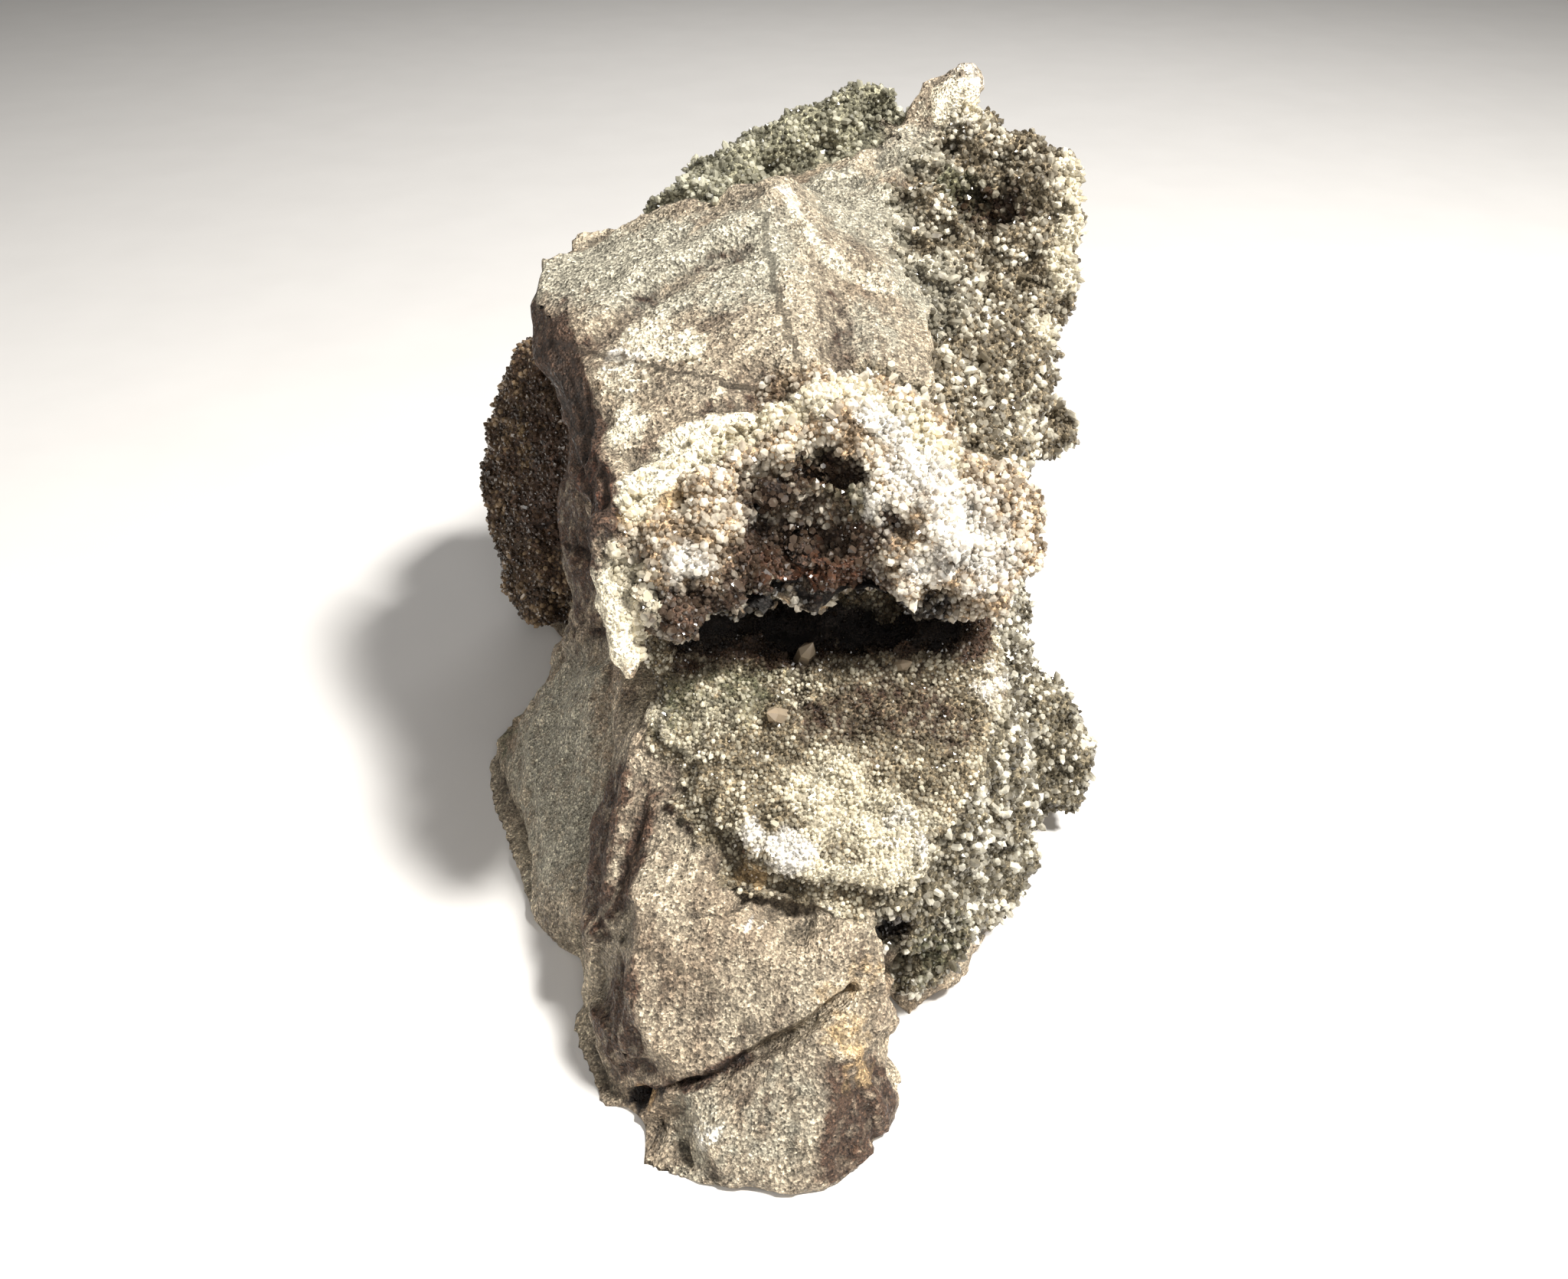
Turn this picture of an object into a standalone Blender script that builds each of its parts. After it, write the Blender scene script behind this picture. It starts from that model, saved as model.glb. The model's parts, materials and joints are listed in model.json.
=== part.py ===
"""Quartz druzy specimen: a fractured lump of grey rock whose hollow, shelf and flanks are
crusted with small quartz crystals. Metres, +Z up. Run with blender --background --python part.py.

The rock is laid out in millimetres from the foot of its front toe: x to the right, y to the
back, z up from the surface that it stands on. At the end CENTRE_X and CENTRE_Y bring the
middle of its outline to the origin.
"""

import math
import random

import bmesh
import bpy
from mathutils import Matrix, Vector, noise
from mathutils.bvhtree import BVHTree

MM = 0.001

# Driving dimensions, in millimetres
CENTRE_X = -2.4  # middle of the whole outline, from the toe
CENTRE_Y = 51.8
GRAIN = 0.8  # grain to which the lobes are fused
WAVES = ((11.0, 0.8), (4.5, 0.5))  # wavelength and height of the broken surface's waves
ZONE_WAVES = ((14.0, 2.0), (5.0, 0.8))  # the same, for the wandering edge of a crust
WEDGE_FOOT = 1.2  # depth of a ridge's or a cleft's foot beyond its line, as a share of its spine
RECESS = 2.0  # how deep the rock lies under a crust
RECESS_SHARE = 0.25  # most of the rock's thickness that the recess takes from one side
RECESS_EDGE = (2.2, 3.6)  # outside a crust's edge, where the recess starts to rise and ends
JUST_INSIDE = 0.1  # depth from which the rock's thickness is measured
CRUST_GAP = 0.4  # from the rock to the underside of a crust
CRUST_THICKNESS = 1.2
THINNING = 0.7  # share of a crust's thickness kept at each step, where it comes near the rock
LEAST_RISE = 0.3  # thickness below which it isn't thinned further
CRUST_FREEDOM = 0.35  # most of the free space in front of the rock that a crust takes
CRUST_FLOOR = 3.0  # lowest ground of a crust
SHARPEST = 1.5  # most that an edge of the crust is moved out, against a flat face
CRYSTAL_HEIGHT = (0.2, 0.6)  # of a crystal's tip, as a share of the width of its foot
CRYSTAL_LEAN = 0.25  # sideways shift of a crystal's tip, as a share of its height

ROCK_TRIANGLES = 3600
SEED = 7
NO_SOURCE = -1  # number given to a crystal's tip, which lies over no one point of the rock

ROCK_COLOUR = (0.32, 0.29, 0.25)
ROCK_ROUGHNESS = 0.85
CRYSTAL_ROUGHNESS = 0.3
COLLECTION = "quartz_druzy_plate"

# Each lobe of the rock is the hull round a few corner points
LOBES = {
    "toe": (
        (-13.4, 3, 1), (-7, 0.2, 1.2), (0, -0.4, 1), (5.5, 1, 1), (9, 6, 0.8), (12, 13.5, 0.5),
        (-11, 6, -3), (-5, 3, -3), (2, 3, -3), (7, 8, -3), (10, 15, -3), (-10, 20, -3),
        (-11.9, 7, 4.3), (-5.6, 8, 6.3), (-1.9, 8.6, 9), (3.4, 10.6, 11), (7.2, 12, 12.2),
        (10.8, 13.5, 6.2), (-5, 20, 9), (8, 20, 12),
    ),
    "instep": (
        (-15.2, 7.9, 8.7), (-14.6, 10.4, 11.1), (-13.5, 15, 15.7), (-3.4, 19.1, 19.7),
        (10.1, 18.5, 19.2), (8.4, 15.2, 15.9), (10.2, 12.7, 13.4), (-19, 18, 7), (-19.2, 15, 5.6),
        (-17.5, 8.5, 4.6), (-16, 9, -3), (-19, 15, -3), (-21, 20, -3), (-18, 30, -3), (10, 30, -3),
        (-11, 7.6, 6), (-3, 9.2, 9.8), (3, 11.6, 12.4),
    ),
    "ankle": (
        (-12.9, 32.7, 28.4), (-7.8, 27.3, 25.7), (-4.5, 24.2, 24.1), (-3.4, 19.1, 19.7),
        (-13.5, 15, 15.7), (-16.4, 24, 14.3), (-15.4, 32, 20.4), (-19, 18, 7), (5, 30, 20),
        (-5, 40, 30), (-20, 26, -3), (-10, 35, -3), (-18, 40, 22),
    ),
    "shelf": (
        (-12.9, 32.7, 28.4), (-7.8, 27.3, 25.7), (-4.5, 24.2, 24.1), (-3.3, 18.3, 20.8),
        (10, 18, 20.8), (16.4, 23.5, 23.8), (20.4, 30.7, 27.3), (20.6, 35, 29.6), (-14, 54, 37),
        (20, 54, 37), (-3, 20, 16), (9, 19.5, 15), (18, 30, 12), (-12, 34, 15), (20, 54, 10),
        (-14, 54, 10),
    ),
    "right_flank": (
        (20.6, 35, 29.6), (20.4, 30.7, 27.3), (16.4, 23.5, 23.8), (10.1, 19.5, 19.2),
        (9, 17, 12), (12.1, 17.4, 1), (19, 22, 1), (25, 31.7, 1), (27.2, 37.6, 1), (12, 22, -3),
        (22, 34, -3), (30, 52, -1), (21.5, 56, 29), (5, 40, -3), (5, 30, 20),
    ),
    "right_knob": (
        (34.9, 50, 7.8), (34.2, 46, 2), (34.9, 52, 9.7), (27.5, 50, 18.6), (27.8, 42, 1.9),
        (31, 72, 2), (23, 70, 17), (30, 50, -3), (15, 60, -3), (27, 70, -3), (15, 60, 15),
    ),
    "right_shoulder": (
        (26.6, 50, 19.6), (23.6, 50, 24.6), (22, 50, 31.4), (23, 72, 28), (15, 60, 30),
        (26, 50, 8), (23, 72, 8), (12, 50, 15),
    ),
    "left_flank": (
        (-37.4, 57, 1), (-32.2, 47, 1), (-28.3, 34, 1), (-25.6, 30, 1), (-21.6, 25, 1),
        (-23.4, 44, 16.2), (-17.6, 30, 9.7), (-18.4, 44, 24.2), (-13, 36, 26), (-31.1, 60, 8.8),
        (-34.6, 60, 4.9), (-30.1, 66, 13.4), (-30, 52, -3), (-24, 34, -3), (-32, 66, -3),
        (-10, 40, -3), (-15, 66, 25),
    ),
    "rear_knob": (
        (-38.2, 88, 25.7), (-30.7, 86, 42.7), (-33.6, 88, 40), (-35.6, 88, 36.9),
        (-38.8, 88, 20.2), (-38.4, 86, 10.7), (-35.7, 82, 6.3), (-34, 99, 4), (-30, 99, 36),
        (-15, 75, 42), (-15, 100, 42), (-30, 82, -3), (-28, 96, -3), (-14, 70, -3), (-24, 68, 20),
    ),
    "head": (
        (-16.9, 32, 48.2), (-20.6, 50, 55.2), (-24.5, 57, 56.9), (-25.5, 72, 60.3),
        (-20, 76, 61), (-0.3, 70, 65.8), (7, 80, 67.6), (-5, 36, 49.2), (5.2, 42, 54.4),
        (15.4, 39, 49.9), (16.4, 60, 55.7), (19.6, 72, 60.8), (14, 86, 69), (-17, 33, 43),
        (-8, 36, 41.5), (16, 38, 41), (18, 60, 38), (-20, 55, 38), (-24, 75, 35), (20, 88, 40),
        (-20, 90, 40),
    ),
    "crown": (
        (-14.6, 78, 61.5), (-10.8, 80, 64.4), (-7.4, 83, 66.2), (-2.7, 85, 67.3), (4.9, 88, 68.4),
        (9, 90, 70.8), (10.6, 90, 71), (13.3, 91, 70.4), (-14, 98, 50), (-6, 102, 56), (10, 103, 60),
        (-20, 90, 40), (16, 98, 40), (14, 84, 60), (-22, 78, 50),
    ),
    "horn": (
        (20.4, 87, 74.6), (17.5, 87.5, 73.2), (13.3, 89, 70.6), (12, 80, 66), (23.5, 84, 67.7),
        (18, 74, 61), (22, 82, 58), (20, 94, 62), (12, 94, 62), (14, 80, 56),
    ),
    "head_flank": (
        (23.5, 84, 67.7), (26.7, 82, 68), (31.5, 78, 64.5), (31, 74, 59.7), (29.4, 70, 51.5),
        (19.6, 72, 60.8), (22, 66, 48), (26, 98, 48), (28, 92, 60), (12, 95, 50), (14, 70, 48),
    ),
    "head_heel": (
        (28.2, 66, 49.5), (27.2, 65, 45.5), (26.4, 62, 39.9), (16.4, 60, 55.7), (20.5, 50, 45.6),
        (26, 90, 42), (12, 95, 38), (10, 60, 38), (18, 52, 41), (26, 88, 56), (14, 80, 60),
        (28, 72, 54),
    ),
    "heel_knob": (
        (30.8, 64, 41.8), (30.8, 64, 39.9), (28.6, 63.5, 43.8), (25.6, 60, 39.5), (24, 60, 44.5),
        (25, 72, 39.6), (28, 71, 44),
    ),
    "lip_right": (
        (24.2, 37.5, 44.4), (23.9, 38, 46.3), (22.2, 42, 48.9), (23.6, 37, 40.8), (19.6, 34, 40.4),
        (17.6, 32.6, 38.4), (14, 32.4, 38.4), (11.4, 33, 39), (8.8, 34, 40), (7, 37, 52.4),
        (15.3, 38, 50.4), (11.7, 33.5, 47.6), (20, 52, 42), (8, 50, 42),
    ),
    "lip_left": (
        (-9.5, 33, 47.9), (-4.2, 32.5, 45.8), (0.4, 34, 46.5), (1.1, 34.5, 40.6),
        (-7.8, 30.4, 39), (-8.2, 30.4, 43.6), (-2.9, 32, 39.6), (-12, 40, 41), (0, 44, 41),
        (-14, 36, 48),
    ),
    "lip_sill": (
        (-4, 33.4, 39.4), (0, 34.6, 38.6), (5.3, 34.8, 38.3), (9, 34, 38.6), (-4, 35, 44),
        (1, 36.4, 44), (6, 36.4, 44), (9, 35, 44.5), (0, 48, 40), (9, 48, 40), (0, 48, 46),
        (9, 48, 46),
    ),
    "lip_root": (
        (22.4, 43, 47.6), (23, 42, 41.6), (21, 54, 47), (24.6, 58, 42), (18, 50, 38.6),
        (22, 50, 39.6), (14, 50, 50), (20, 50, 49), (12, 46, 40),
    ),
    "fang": (
        (-16.9, 32, 48.2), (-16.5, 30, 44), (-13.6, 25.4, 34.4), (-11.8, 26.6, 36.4), (-9.5, 29.5, 39),
        (-16, 29, 40.3), (-12, 31, 47), (-10, 33, 43), (-18.5, 46, 40), (-14, 46, 40),
        (-20, 50, 50), (-14, 32, 38),
    ),
    "left_wall": (
        (-24, 60, 10), (-29, 66, 13), (-27, 64, 34), (-25, 72, 44), (-22, 58, 44), (-28, 80, 30),
        (-14, 70, 20),
    ),
    "back_buttress": (
        (-14, 92, -3), (8, 98, -3), (-16, 99, 14), (10, 102, 20), (-12, 103, 34), (6, 104, 40),
        (-8, 95, 46), (12, 90, -3), (-20, 88, 20),
    ),
    "back_shoulder": (
        (8, 92, 38), (24, 94, 26), (27.5, 86, 22), (28, 80, 40), (20, 100, 44), (10, 100, 52),
        (26, 96, 44), (14, 84, 20), (22, 98, 20),
    ),
    "back_right": (
        (18, 70, -3), (30, 72, 2), (31, 80, 6), (28, 90, 3), (22, 98, -3), (27, 84, 34),
        (20, 94, 32), (28, 74, 24), (12, 80, 20),
    ),
    "keel": (
        (-18, 30, -3), (10, 28, -3), (-16, 30, 12), (8, 27, 15), (-22, 58, -3), (22, 58, -3),
        (-18, 58, 32), (18, 58, 32), (0, 40, 28), (25, 50, -3), (25, 50, 12),
    ),
    "heart": (
        (-24, 55, -3), (-24, 62, 38), (-15, 53, 42), (17, 53, 42), (22, 60, 42), (27, 75, 5),
        (24, 92, -3), (-27, 92, -3), (-24, 98, 30), (22, 98, 35), (-20, 95, 52), (18, 97, 58),
        (22, 55, -3),
    ),
}

# Ridges and clefts run along a line of places on the rock. "out" points away from the rock,
# "width" is across, and "spine" is how far the sharp edge is above the line.
RIDGES = {
    "apex": {
        "path": ((-0.3, 70.6, 65.6), (1.8, 65.4, 63.8), (5.1, 62.9, 62.2), (10.5, 60.6, 59.7),
                 (14, 57, 57)),
        "out": (0.1, -0.3, 0.95), "width": 8, "spine": 2,
    },
    "crest": {
        "path": ((-12, 73, 62.8), (-0.4, 70.6, 65.7), (9.1, 80.5, 68.1), (13, 85, 69)),
        "out": (-0.1, -0.2, 0.97), "width": 5, "spine": 1.1,
    },
    "inner_edge": {
        "path": ((-12.6, 21, 20.5), (-13.7, 15, 15.4), (-14.4, 11.5, 11)),
        "out": (-0.5, -0.5, 0.7), "width": 6, "spine": 1.4,
    },
    "face_step": {
        "path": ((-9, 44, 53.5), (-4, 43, 53.6), (1.5, 43.5, 54.4)),
        "out": (0, -0.5, 0.87), "width": 6, "spine": 1.6,
    },
}
CLEFTS = {
    "toe_crack": {
        "path": ((-16, 7.6, 1.8), (-11.8, 7.3, 3.9), (-8.9, 7.4, 5.8), (-5.6, 7.5, 6.8),
                 (-3.5, 8.5, 8.1), (1.1, 9.6, 10.2), (3.4, 10.7, 11.1), (6.5, 12.1, 12.3),
                 (12, 14.5, 12)),
        "out": (-0.1, -0.85, 0.5), "width": 4, "spine": -2.4,
    },
    "toe_hole": {
        "path": ((-17, 8, 2.4), (-12.6, 7.6, 3.2)),
        "out": (-0.3, -0.95, 0.1), "width": 5, "spine": -3.6,
    },
    "step_crack": {
        "path": ((-3.6, 19.2, 19.7), (-1, 19.6, 19.6), (1.7, 18.9, 19.4), (5.7, 18.8, 18.8),
                 (10.4, 18.3, 18.2)),
        "out": (0, -0.75, 0.65), "width": 4, "spine": -2.2,
    },
    "behind_horn": {
        "path": ((17.5, 81, 67), (18.6, 77, 64.5), (20.6, 72.5, 61.5), (22, 69, 58)),
        "out": (0.5, -0.5, 0.7), "width": 7, "spine": -4,
    },
    "flank_crease": {
        "path": ((11.2, 17.5, 17), (11.4, 18.5, 12), (11.6, 19, 6), (13, 19, -1)),
        "out": (0.6, -0.8, 0), "width": 4, "spine": -2,
    },
    "left_band": {
        "path": ((-23.2, 56, 53), (-20.4, 46, 49), (-17.6, 37, 45), (-15.4, 31, 40.5)),
        "out": (-0.95, -0.3, 0), "width": 3, "spine": -1,
    },
}
# Pockets are hulls taken out of the rock
POCKETS = {
    "lip_cavity": (
        (-5, 28, 43), (8.2, 28, 43), (8.6, 29, 47.4), (3, 30, 49.6), (-4.6, 30, 48.6), (-1.5, 41, 43.6),
        (5.6, 41, 43.6), (5, 40.5, 46), (-0.6, 40.5, 46),
    ),
    "lip_niche": (
        (-12.6, 27, 43.2), (-7.2, 27, 42.8), (-7.6, 28, 47), (-11.6, 28, 48), (-10.5, 35, 44.6),
        (-8.6, 35, 46),
    ),
}

# Where each crust lies on the rock: hulls round the ground it covers
CRUSTS = {
    "upper_druzy_crust": {
        "colour": (0.62, 0.60, 0.52),
        "ground": (
            # lip, from the fang across to the right
            ((-10.8, 26, 42), (-9.6, 26, 38), (-11.6, 31, 48), (-2, 28, 50.5), (6, 30, 54.5),
             (14, 30, 52), (29, 34, 50), (29, 32, 37), (14, 28, 36), (-4, 27, 37), (-10, 48, 45),
             (24, 50, 36), (24, 48, 50), (4, 48, 54), (-11, 44, 36)),
            # depth of the lip's cavity
            ((-6, 30, 41), (9, 30, 41), (9, 32, 51), (-5, 32, 51), (-3, 47, 40), (8, 47, 40),
             (7, 47, 49), (-2, 47, 49)),
            # right flank of the head, up to the horn
            ((20, 46, 38), (34, 60, 36), (15, 46, 46), (16.5, 52, 54), (18, 60, 59), (15, 67, 64),
             (20, 75, 67), (24, 82, 72), (36, 80, 70), (36, 100, 40), (14, 106, 40),
             (13.5, 104, 61), (14, 84, 63), (24, 62, 36), (22, 100, 36)),
        ),
    },
    "top_druzy_crust": {
        "colour": (0.34, 0.33, 0.25),
        "ground": (
            # behind the crest
            ((-14, 75.5, 58), (-12, 75, 67), (-0.4, 73, 70), (9, 84, 73), (13, 91, 75),
             (13, 96, 64), (12, 108, 52), (-4, 108, 50), (-20, 102, 48), (-18, 84, 56)),
        ),
    },
    "lower_druzy_crust": {
        "colour": (0.50, 0.48, 0.38),
        "ground": (
            # shelf
            ((-13, 33, 33), (-8, 27, 29), (-4, 22, 25), (-3, 18.8, 24), (10, 18.3, 24), (26, 26, 30),
             (27, 40, 34), (22, 50, 38), (-11, 48, 38), (-12, 36, 26), (-4, 22, 17), (8, 19, 16),
             (24, 32, 18), (-10, 48, 28)),
            # right flank, down to the foot
            ((9.5, 16.5, 19), (12, 18, 5), (15, 20, 0.8), (26, 28, 0.8), (36, 44, 0.8),
             (40, 58, 0.8), (38, 94, 0.8), (34, 94, 34), (26, 52, 36), (27, 34, 34),
             (20, 22, 26), (12, 18, 23), (24, 94, 0.8), (18, 94, 33)),
        ),
    },
    "rear_druzy_crust": {
        "colour": (0.16, 0.11, 0.08),
        "ground": (
            ((-44, 78, 1), (-30, 62, 22), (-24, 62, 44), (-40, 90, 48), (-44, 104, 30),
             (-40, 104, 1), (-24, 106, 44), (-24, 104, 6), (-33, 76, 1), (-24, 70, 48)),
        ),
    },
}


def clear_scene():
    for thing in list(bpy.data.objects):
        bpy.data.objects.remove(thing)


def at(point):
    """A point in millimetres, as a place in metres."""
    return Vector(point) * MM


def fused(mesh):
    """The mesh with all that it is made of run together."""
    return applied(mesh, ("REMESH", {"mode": "VOXEL", "voxel_size": GRAIN * MM}))


def hulls(groups):
    """One closed mesh round the hulls of several groups of corner points."""
    work = bmesh.new()
    for corners in groups:
        verts = [work.verts.new(at(corner)) for corner in corners]
        made = bmesh.ops.convex_hull(work, input=verts)
        inside = [item for item in made["geom_interior"] if isinstance(item, bmesh.types.BMVert)]
        bmesh.ops.delete(work, geom=inside, context="VERTS")
    mesh = bpy.data.meshes.new("hulls")
    work.to_mesh(mesh)
    work.free()
    return fused(mesh)


def wedges(runs):
    """The corner points of a wedge on each stretch of each run of places."""
    for run in runs:
        out = Vector(run["out"]).normalized()
        base = -out * run["spine"] * WEDGE_FOOT
        places = [Vector(place) for place in run["path"]]
        for here, there in zip(places, places[1:]):
            side = (there - here).cross(out).normalized() * run["width"] / 2
            corners = []
            for place in (here, there):
                corners += [place + out * run["spine"], place + base + side, place + base - side]
            yield corners


def applied(mesh, *modifiers):
    """The mesh after the modifiers, each given as its type and settings."""
    holder = bpy.data.objects.new("work", mesh)
    bpy.context.scene.collection.objects.link(holder)
    for kind, settings in modifiers:
        modifier = holder.modifiers.new(kind.lower(), kind)
        for key, value in settings.items():
            setattr(modifier, key, value)
    graph = bpy.context.evaluated_depsgraph_get()
    result = bpy.data.meshes.new_from_object(holder.evaluated_get(graph))
    bpy.data.objects.remove(holder)
    return result


def combined(mesh, operation, other):
    """The mesh after a Boolean with another mesh."""
    holder = bpy.data.objects.new("other", other)
    bpy.context.scene.collection.objects.link(holder)
    settings = {"operation": operation, "solver": "EXACT", "object": holder}
    result = applied(mesh, ("BOOLEAN", settings))
    bpy.data.objects.remove(holder)
    return result


def thinned(mesh, triangles):
    """The mesh with about that many triangles."""
    mesh.calc_loop_triangles()
    share = min(1, triangles / len(mesh.loop_triangles))
    return applied(mesh, ("TRIANGULATE", {}), ("DECIMATE", {"ratio": share}))


def roughen(mesh, waves):
    """Moves each point along its normal by the sum of the waves."""
    moves = []
    for vert in mesh.vertices:
        place = vert.co / MM
        height = sum(size * noise.noise(place / length) for length, size in waves)
        moves.append(vert.co + vert.normal * height * MM)
    for vert, place in zip(mesh.vertices, moves):
        vert.co = place


def outline():
    """The whole specimen as one closed mesh."""
    lobes = hulls([*LOBES.values(), *wedges(RIDGES.values())])
    mesh = combined(lobes, "DIFFERENCE", hulls([*POCKETS.values(), *wedges(CLEFTS.values())]))
    roughen(mesh, WAVES)
    return fused(mesh)


def zone_of(crust):
    """The space that a crust fills where it meets the outline."""
    mesh = hulls(crust["ground"])
    roughen(mesh, ZONE_WAVES)
    return fused(mesh)


def largest_island(mesh):
    """Leaves only the connected piece that has the most points."""
    work = bmesh.new()
    work.from_mesh(mesh)
    left = set(work.verts)
    best = set()
    while left:
        island = set()
        front = [left.pop()]
        while front:
            vert = front.pop()
            island.add(vert)
            for edge in vert.link_edges:
                other = edge.other_vert(vert)
                if other in left:
                    left.remove(other)
                    front.append(other)
        if len(island) > len(best):
            best = island
    bmesh.ops.delete(work, geom=[vert for vert in work.verts if vert not in best], context="VERTS")
    work.to_mesh(mesh)
    work.free()


def tree_of(mesh):
    work = bmesh.new()
    work.from_mesh(mesh)
    tree = BVHTree.FromBMesh(work)
    work.free()
    return tree


def distance_outside(tree, place):
    """How far a place is outside a closed mesh, in millimetres: negative inside."""
    nearest, normal, _, distance = tree.find_nearest(place)
    return distance / MM * (1 if (place - nearest).dot(normal) > 0 else -1)


def recessed(mesh, zones):
    """The rock with its surface sunk where crusts lie, and less so where the rock is thin."""
    trees = [tree_of(zone) for zone in zones]
    whole = tree_of(mesh)
    start, end = RECESS_EDGE
    result = mesh.copy()
    for vert, source in zip(result.vertices, mesh.vertices):
        outside = min(distance_outside(tree, source.co) for tree in trees)
        share = max(0, min(1, (end - outside) / (end - start)))
        if share > 0:
            inner = source.co - source.normal * JUST_INSIDE * MM
            _, _, _, through = whole.ray_cast(inner, -source.normal)
            depth = min(RECESS * MM, (through or 1) * RECESS_SHARE)
            vert.co = source.co - source.normal * share * depth
    return fused(result)


def flat_based(mesh):
    """The mesh cut off level at the surface that it stands on."""
    work = bmesh.new()
    work.from_mesh(mesh)
    cut = bmesh.ops.bisect_plane(
        work, geom=work.verts[:] + work.edges[:] + work.faces[:], plane_co=(0, 0, 0),
        plane_no=(0, 0, 1), clear_inner=True,
    )
    rim = [item for item in cut["geom_cut"] if isinstance(item, bmesh.types.BMEdge)]
    bmesh.ops.holes_fill(work, edges=rim)
    bmesh.ops.triangulate(work, faces=work.faces)
    bmesh.ops.recalc_face_normals(work, faces=work.faces)
    work.to_mesh(mesh)
    work.free()
    return mesh


def linked_patch(faces):
    """The largest set of the faces that hang together by their edges, with no two parts of it
    that meet only at a point."""
    left = set(faces)
    best = set()
    while left:
        patch = set()
        front = [left.pop()]
        while front:
            face = front.pop()
            patch.add(face)
            for edge in face.edges:
                for other in edge.link_faces:
                    if other in left:
                        left.remove(other)
                        front.append(other)
        if len(patch) > len(best):
            best = patch
    pinched = set()
    for vert in {vert for face in best for vert in face.verts}:
        rim = [edge for edge in vert.link_edges if sum(face in best for face in edge.link_faces) == 1]
        if len(rim) > 2:
            pinched.update(face for face in vert.link_faces if face in best)
    return linked_patch(best - pinched) if pinched else best


def skin(rock, rock_tree, zone_tree, taken, edges_left):
    """A skin over the rock's faces in one zone, with a crystal raised on each facet: its bmesh,
    and the layer that holds the number of the rock's point under each of its points."""
    work = bmesh.new()
    work.from_mesh(rock)
    push = work.verts.layers.float_vector.new("push")
    source = work.verts.layers.int.new("source")
    work.verts.index_update()
    for vert in work.verts:
        vert[push] = vert.normal * min(vert.calc_shell_factor(), SHARPEST)
        vert[source] = vert.index
    ground = linked_patch(
        face for face in work.faces
        if distance_outside(zone_tree, face.calc_center_median()) < 0
        and min(vert.co.z for vert in face.verts) > CRUST_FLOOR * MM
        and not any(vert.index in taken for vert in face.verts)
        and not any(ends(edge, source) in edges_left for edge in face.edges)
    )
    bmesh.ops.delete(work, geom=[face for face in work.faces if face not in ground], context="FACES")
    for vert in work.verts:
        vert.co += vert[push] * CRUST_GAP * MM
    grown = bmesh.ops.extrude_face_region(work, geom=work.faces[:], use_keep_orig=True)["geom"]
    for vert in grown:
        if isinstance(vert, bmesh.types.BMVert):
            _, _, _, free = rock_tree.ray_cast(vert.co, vert[push])
            rise = vert[push] * min(CRUST_THICKNESS * MM, (free or 1) * CRUST_FREEDOM)
            while rise.length > LEAST_RISE * MM and (
                distance_outside(rock_tree, vert.co + rise) < CRUST_GAP
            ):
                rise *= THINNING
            vert.co += rise
    bmesh.ops.recalc_face_normals(work, faces=work.faces)
    chance = random.Random(SEED)
    for face in [item for item in grown if isinstance(item, bmesh.types.BMFace)]:
        raise_crystal(work, face, chance)[source] = NO_SOURCE
    bmesh.ops.triangulate(work, faces=work.faces)
    return work, source


def ends(edge, source):
    """The numbers of the rock's points under an edge's two ends."""
    return frozenset(vert[source] for vert in edge.verts)


def crust_mesh(rock, zone, solids, taken):
    """The crust of one zone, left open wherever it would cut into one of the solids, the rock
    first among them. "taken" holds the numbers of the rock's points under the other crusts,
    and gets this one's."""
    zone_tree = tree_of(zone)
    trees = [tree_of(solid) for solid in solids]
    edges_left = set()
    while True:
        work, source = skin(rock, trees[0], zone_tree, taken, edges_left)
        own = BVHTree.FromBMesh(work)
        work.faces.ensure_lookup_table()
        cut = {work.faces[own_face] for tree in trees for own_face, _ in own.overlap(tree)}
        if not cut:
            break
        edges_left.update(ends(edge, source) for face in cut for edge in face.edges)
        work.free()
    taken.update(vert[source] for vert in work.verts)
    mesh = bpy.data.meshes.new("crust")
    work.to_mesh(mesh)
    work.free()
    return mesh


def raise_crystal(work, face, chance):
    """Raises a facet to a point, and gives the point."""
    normal = face.normal.copy()
    height = math.sqrt(face.calc_area()) * chance.uniform(*CRYSTAL_HEIGHT)
    lean = Vector([chance.uniform(-1, 1) for _ in range(3)]) * CRYSTAL_LEAN
    tip = bmesh.ops.poke(work, faces=[face])["verts"][0]
    tip.co += (normal + lean) * height
    return tip


def finish(name, mesh, colour, roughness):
    """A named object from a mesh, moved from the toe's frame to the origin's."""
    mesh.transform(Matrix.Translation(at((-CENTRE_X, -CENTRE_Y, 0))))
    thing = bpy.data.objects.new(name, mesh)
    bpy.data.collections[COLLECTION].objects.link(thing)
    material = bpy.data.materials.new(name)
    material.use_nodes = True
    shader = material.node_tree.nodes["Principled BSDF"]
    shader.inputs["Base Color"].default_value = (*colour, 1)
    shader.inputs["Roughness"].default_value = roughness
    thing.data.materials.clear()
    thing.data.materials.append(material)
    return thing


def main():
    clear_scene()
    parts = bpy.data.collections.new(COLLECTION)
    bpy.context.scene.collection.children.link(parts)
    zones = [zone_of(crust) for crust in CRUSTS.values()]
    rock = recessed(outline(), zones)
    largest_island(rock)
    solids = [flat_based(thinned(rock, ROCK_TRIANGLES))]
    taken = set()
    for zone in zones:
        solids.append(crust_mesh(solids[0], zone, solids, taken))
    finish("matrix_rock", solids[0], ROCK_COLOUR, ROCK_ROUGHNESS)
    for (name, crust), mesh in zip(CRUSTS.items(), solids[1:]):
        finish(name, mesh, crust["colour"], CRYSTAL_ROUGHNESS)


main()
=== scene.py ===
import json
import math

import bmesh
import bpy
import numpy as np
from mathutils import Matrix, Vector, noise
from mathutils.bvhtree import BVHTree

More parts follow.
